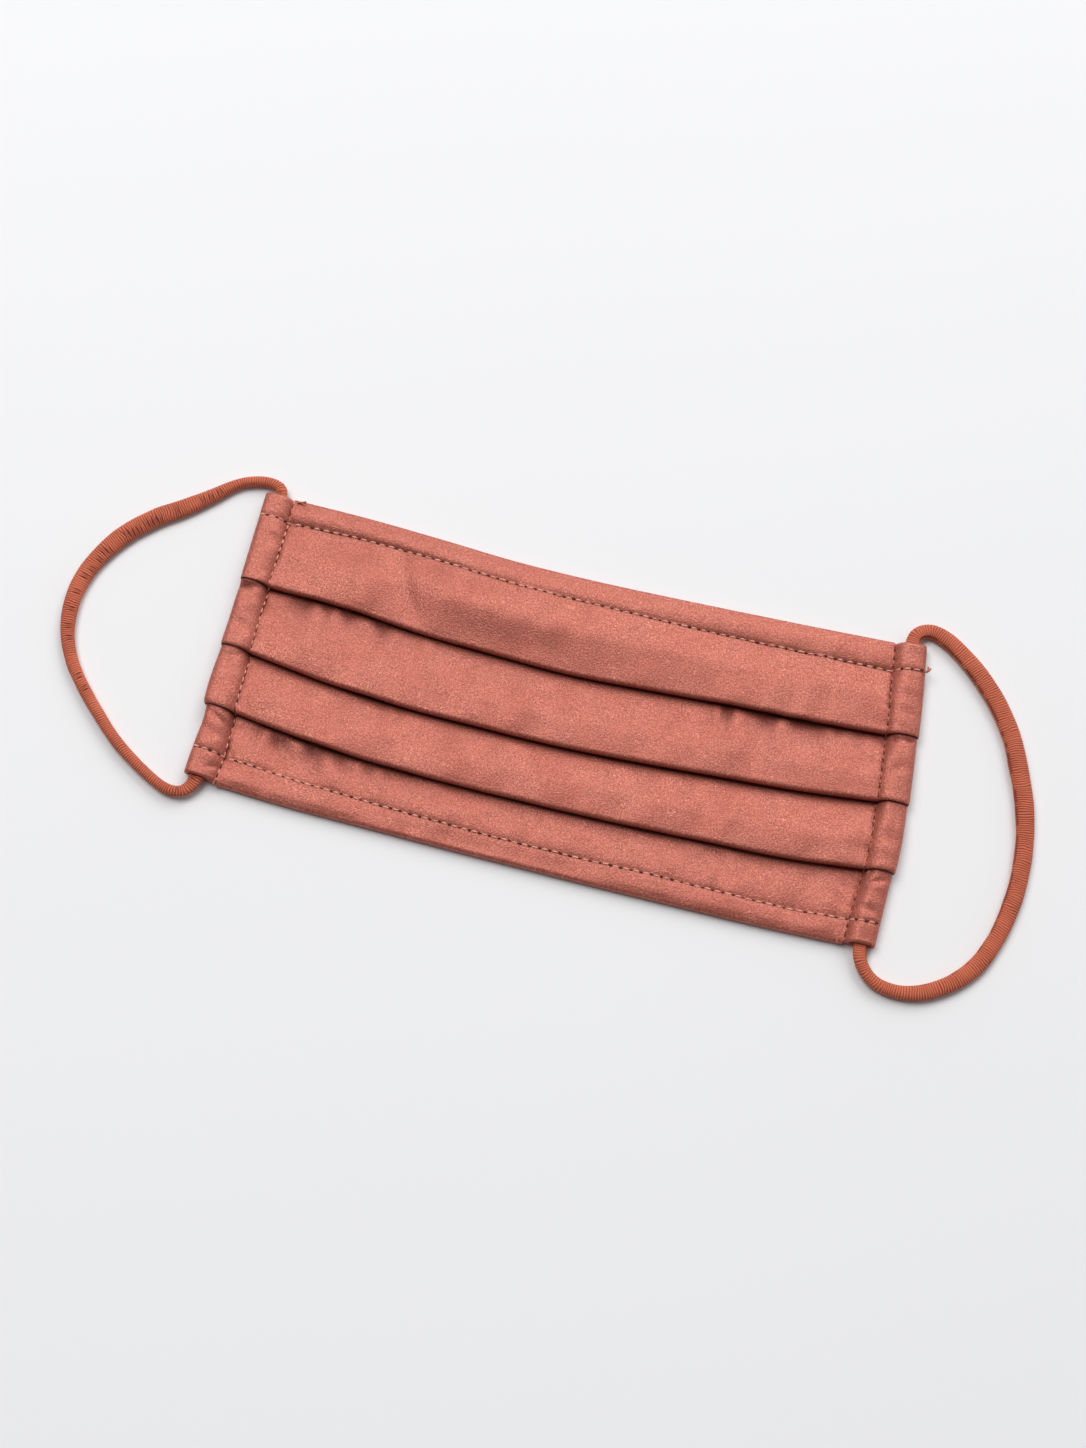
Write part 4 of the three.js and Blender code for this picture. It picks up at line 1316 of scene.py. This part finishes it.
def hem_places(m, name):
    """Places along a row of hem stitches, from one casing's outer edge to the other's"""
    ends, seams = [], []
    for side in (-1, 1):
        y = float(hem_row(m, name, float(side)))
        inset = ROW_INSET + (m.stitch_pitch / 2 if side > 0 else 0)
        x = side_at(m, side, y) + side * (casing_width_at(m, side, y) - inset)
        ends.append((float(x), y + MOUTH_RAKES[side][name]))
        seams.append(float(side_at(m, side, ends[-1][1])))
    x = np.linspace(ends[0][0], ends[1][0], 700)
    across = 2 * (x - seams[0]) / (seams[1] - seams[0]) - 1
    y = hem_row(m, name, np.clip(across, -1, 1))
    for seam, (end_x, end_y) in zip(seams, ends):
        y = mix(y, end_y, np.clip((x - seam) / (end_x - seam), 0, 1))
    return zip(x, y)


def side_places(m, side):
    """Places down a row of side stitches, from the top edge to the bottom edge"""
    top, bottom = (float(line_at(m, name, float(side))) for name in ("top", "bottom"))
    y = np.linspace(top - 0.6 * MM, bottom + 0.6 * MM, 500)
    return zip(side_at(m, side, y) + side * 0.12 * MM, y)


def thread_end_points(row, count=12):
    """Points along one curling end of thread"""
    place, heading = Vector(row["at"]) * MM, Vector(row["to"]).normalized()
    points = [place.copy()]
    for _ in range(count - 1):
        heading.rotate(Quaternion((0, 0, 1), row["curl"] / count))
        place += heading * row["long"] * MM / (count - 1)
        points.append(place.copy())
    return points


# Operators


def declare_root(made, slot_name, *nodes):
    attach(made, "root")
    if nodes:
        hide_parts(*nodes)


def add_aimed(name, data, place, aim):
    """A camera or a lamp at a place, turned to another"""
    made = add_object(name, data)
    made.location = place
    made.rotation_mode = "QUATERNION"
    made.rotation_quaternion = (aim - place).to_track_quat("-Z", "Y")
    return made


class MASK_OT_stage(bpy.types.Operator):
    """Adds the pale floor, the soft light and the camera"""

    bl_idname = "mask.stage"
    bl_label = "Stage and camera"

    def execute(self, context):
        scene = context.scene
        right = Vector((math.cos(CAMERA_AZIMUTH), math.sin(CAMERA_AZIMUTH), 0))
        ahead = Vector((-math.sin(CAMERA_AZIMUTH), math.cos(CAMERA_AZIMUTH), 0))
        upward = Vector((0, 0, 1))
        camera = bpy.data.cameras.new("camera")
        camera.sensor_width = 36
        camera.lens = CAMERA_LENS
        camera.clip_start = 0.01
        back = upward * math.sin(CAMERA_ELEVATION) - ahead * math.cos(CAMERA_ELEVATION)
        scene.camera = add_aimed("camera", camera, CAMERA_AIM + back * CAMERA_DISTANCE, CAMERA_AIM)

        mesh = bpy.data.meshes.new("floor")
        corners = [(x * 1.6, y * 1.6, 0) for x, y in ((-1, -1), (1, -1), (1, 1), (-1, 1))]
        mesh.from_pydata(corners, [], [(0, 1, 2, 3)])
        mesh.materials.append(material_of("pale_floor"))
        add_object("floor", mesh)

        for row in LAMPS:
            light = bpy.data.lights.new(row["name"], "AREA")
            light.shape = "DISK"
            light.size = row["wide"]
            light.energy = row["power"]
            place = right * row["right"] + ahead * row["ahead"] + upward * row["up"]
            add_aimed(row["name"], light, place, Vector())
        scene.world = soft_room(right * 0.6 + ahead * 0.8)
        scene.view_settings.view_transform = "Standard"
        return {"FINISHED"}


class MASK_OT_ear_loops(bpy.types.Operator):
    """Makes the two gathered ear loops"""

    bl_idname = "mask.ear_loops"
    bl_label = "Ear loops"

    def execute(self, context):
        m = context.scene.mask_sizes
        tree = gather_tree()
        for row in LOOPS:
            name = "ear_loop_" + row["word"]
            made, path, total = build_loop(m, row["side"], row["route"], name + "_cloth")
            made = shape_with(made, tree, {
                "Rib Pitch": m.rib_pitch,
                "Rib Depth": m.rib_depth,
                "Wander": 2.6,
                "Unevenness": 0.45 * MM,
                "Slit Depth": m.slit_depth,
                "Slit Share": row["slits"],
                "Seam Angle": row["seam"],
                "Seam Depth": row["seam_depth"] * MM,
                "Seed": 11 + row["side"],
                "Material": material_of("gathered_cloth"),
            })
            declare_root(made, "gathered_elastic", name)
            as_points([tuple(p) for p in path[::5]] + [tuple(path[0])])
        return {"FINISHED"}


class MASK_OT_panel(bpy.types.Operator):
    """Makes the pleated satin panel"""

    bl_idname = "mask.panel"
    bl_label = "Pleated panel"

    def execute(self, context):
        m = context.scene.mask_sizes
        panel, cut_length = build_panel(m)
        panel.data.materials.append(material_of("coral_satin"))
        declare_root(panel, "satin", "pleated_panel")
        return {"FINISHED"}


class MASK_OT_casings(bpy.types.Operator):
    """Makes the two side casings"""

    bl_idname = "mask.casings"
    bl_label = "Side casings"

    def execute(self, context):
        for side, name in ((-1, "casing_left"), (1, "casing_right")):
            made, flat = build_casing(context.scene.mask_sizes, side, name + "_cloth")
            made.data.materials.append(material_of("coral_satin"))
            declare_root(made, "satin", name)
        return {"FINISHED"}


class MASK_OT_stitches(bpy.types.Operator):
    """Sews the hems and the casings with rows of stitches"""

    bl_idname = "mask.stitches"
    bl_label = "Stitches"

    def execute(self, context):
        m = context.scene.mask_sizes
        surface, tree = satin_surface(), stitch_tree()
        rows = (
            ("stitches_top_hem", hem_places(m, "top"), 1.0, 1.0, "sewing_thread"),
            ("stitches_bottom_hem", hem_places(m, "bottom"), 1.0, 1.0, "sewing_thread"),
            ("stitches_left_side", side_places(m, -1), 0.92, 0.8, "sewing_thread"),
            ("stitches_right_side", side_places(m, 1), 0.92, 0.8, "seam_thread"),
        )
        for number, (name, places, pitch, size, thread) in enumerate(rows):
            made = shape_with(seam_curve(name, surface_points(surface, places)), tree, {
                "Pitch": m.stitch_pitch * pitch,
                "Stitch Length": m.stitch_pitch * pitch * 0.6,
                "Thread": m.thread * size * 1.6,
                "Lift": 0.04 * MM,
                "Hole Length": 1.05 * MM * size,
                "Hole Width": 0.62 * MM * size,
                "Wander": 0.06 * MM,
                "Seed": 5 + number,
                "Sewing": material_of(thread),
                "Hole": material_of("needle_hole"),
            })
            declare_root(made, "satin")
        return {"FINISHED"}


class MASK_OT_thread_ends(bpy.types.Operator):
    """Leaves a few short ends of thread at the seams"""

    bl_idname = "mask.thread_ends"
    bl_label = "Thread ends"

    def execute(self, context):
        tree = thread_tree()
        settings = {
            "Thread": context.scene.mask_sizes.thread * 1.5,
            "Material": material_of("seam_thread"),
        }
        for number, row in enumerate(THREAD_ENDS, start=1):
            curve = seam_curve(f"thread_end_{number}", thread_end_points(row))
            declare_root(shape_with(curve, tree, settings), "satin")
        return {"FINISHED"}


OPERATORS = (
    MASK_OT_stage, MASK_OT_ear_loops, MASK_OT_panel, MASK_OT_casings, MASK_OT_stitches,
    MASK_OT_thread_ends,
)


class MASK_PT_panel(bpy.types.Panel):
    """Lists the steps that build the mask, and its sizes and colours"""

    bl_idname = "MASK_PT_panel"
    bl_label = "Face mask"
    bl_space_type = "VIEW_3D"
    bl_region_type = "UI"
    bl_category = "Face mask"

    def draw(self, context):
        for operator in OPERATORS:
            self.layout.operator(operator.bl_idname)
        for settings in (context.scene.mask_sizes, context.scene.mask_colours):
            for name in settings.__annotations__:
                self.layout.prop(settings, name)


CLASSES = (MaskSizes, MaskColours, *OPERATORS, MASK_PT_panel)


def register():
    for item in CLASSES:
        bpy.utils.register_class(item)
    bpy.types.Scene.mask_sizes = bpy.props.PointerProperty(type=MaskSizes)
    bpy.types.Scene.mask_colours = bpy.props.PointerProperty(type=MaskColours)


def unregister():
    del bpy.types.Scene.mask_colours
    del bpy.types.Scene.mask_sizes
    for item in reversed(CLASSES):
        bpy.utils.unregister_class(item)


def main():
    """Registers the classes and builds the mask"""
    register()
    bpy.ops.mask.stage()
    bpy.ops.mask.ear_loops()
    bpy.ops.mask.panel()
    bpy.ops.mask.casings()
    bpy.ops.mask.stitches()
    bpy.ops.mask.thread_ends()


if __name__ == "__main__":
    main()
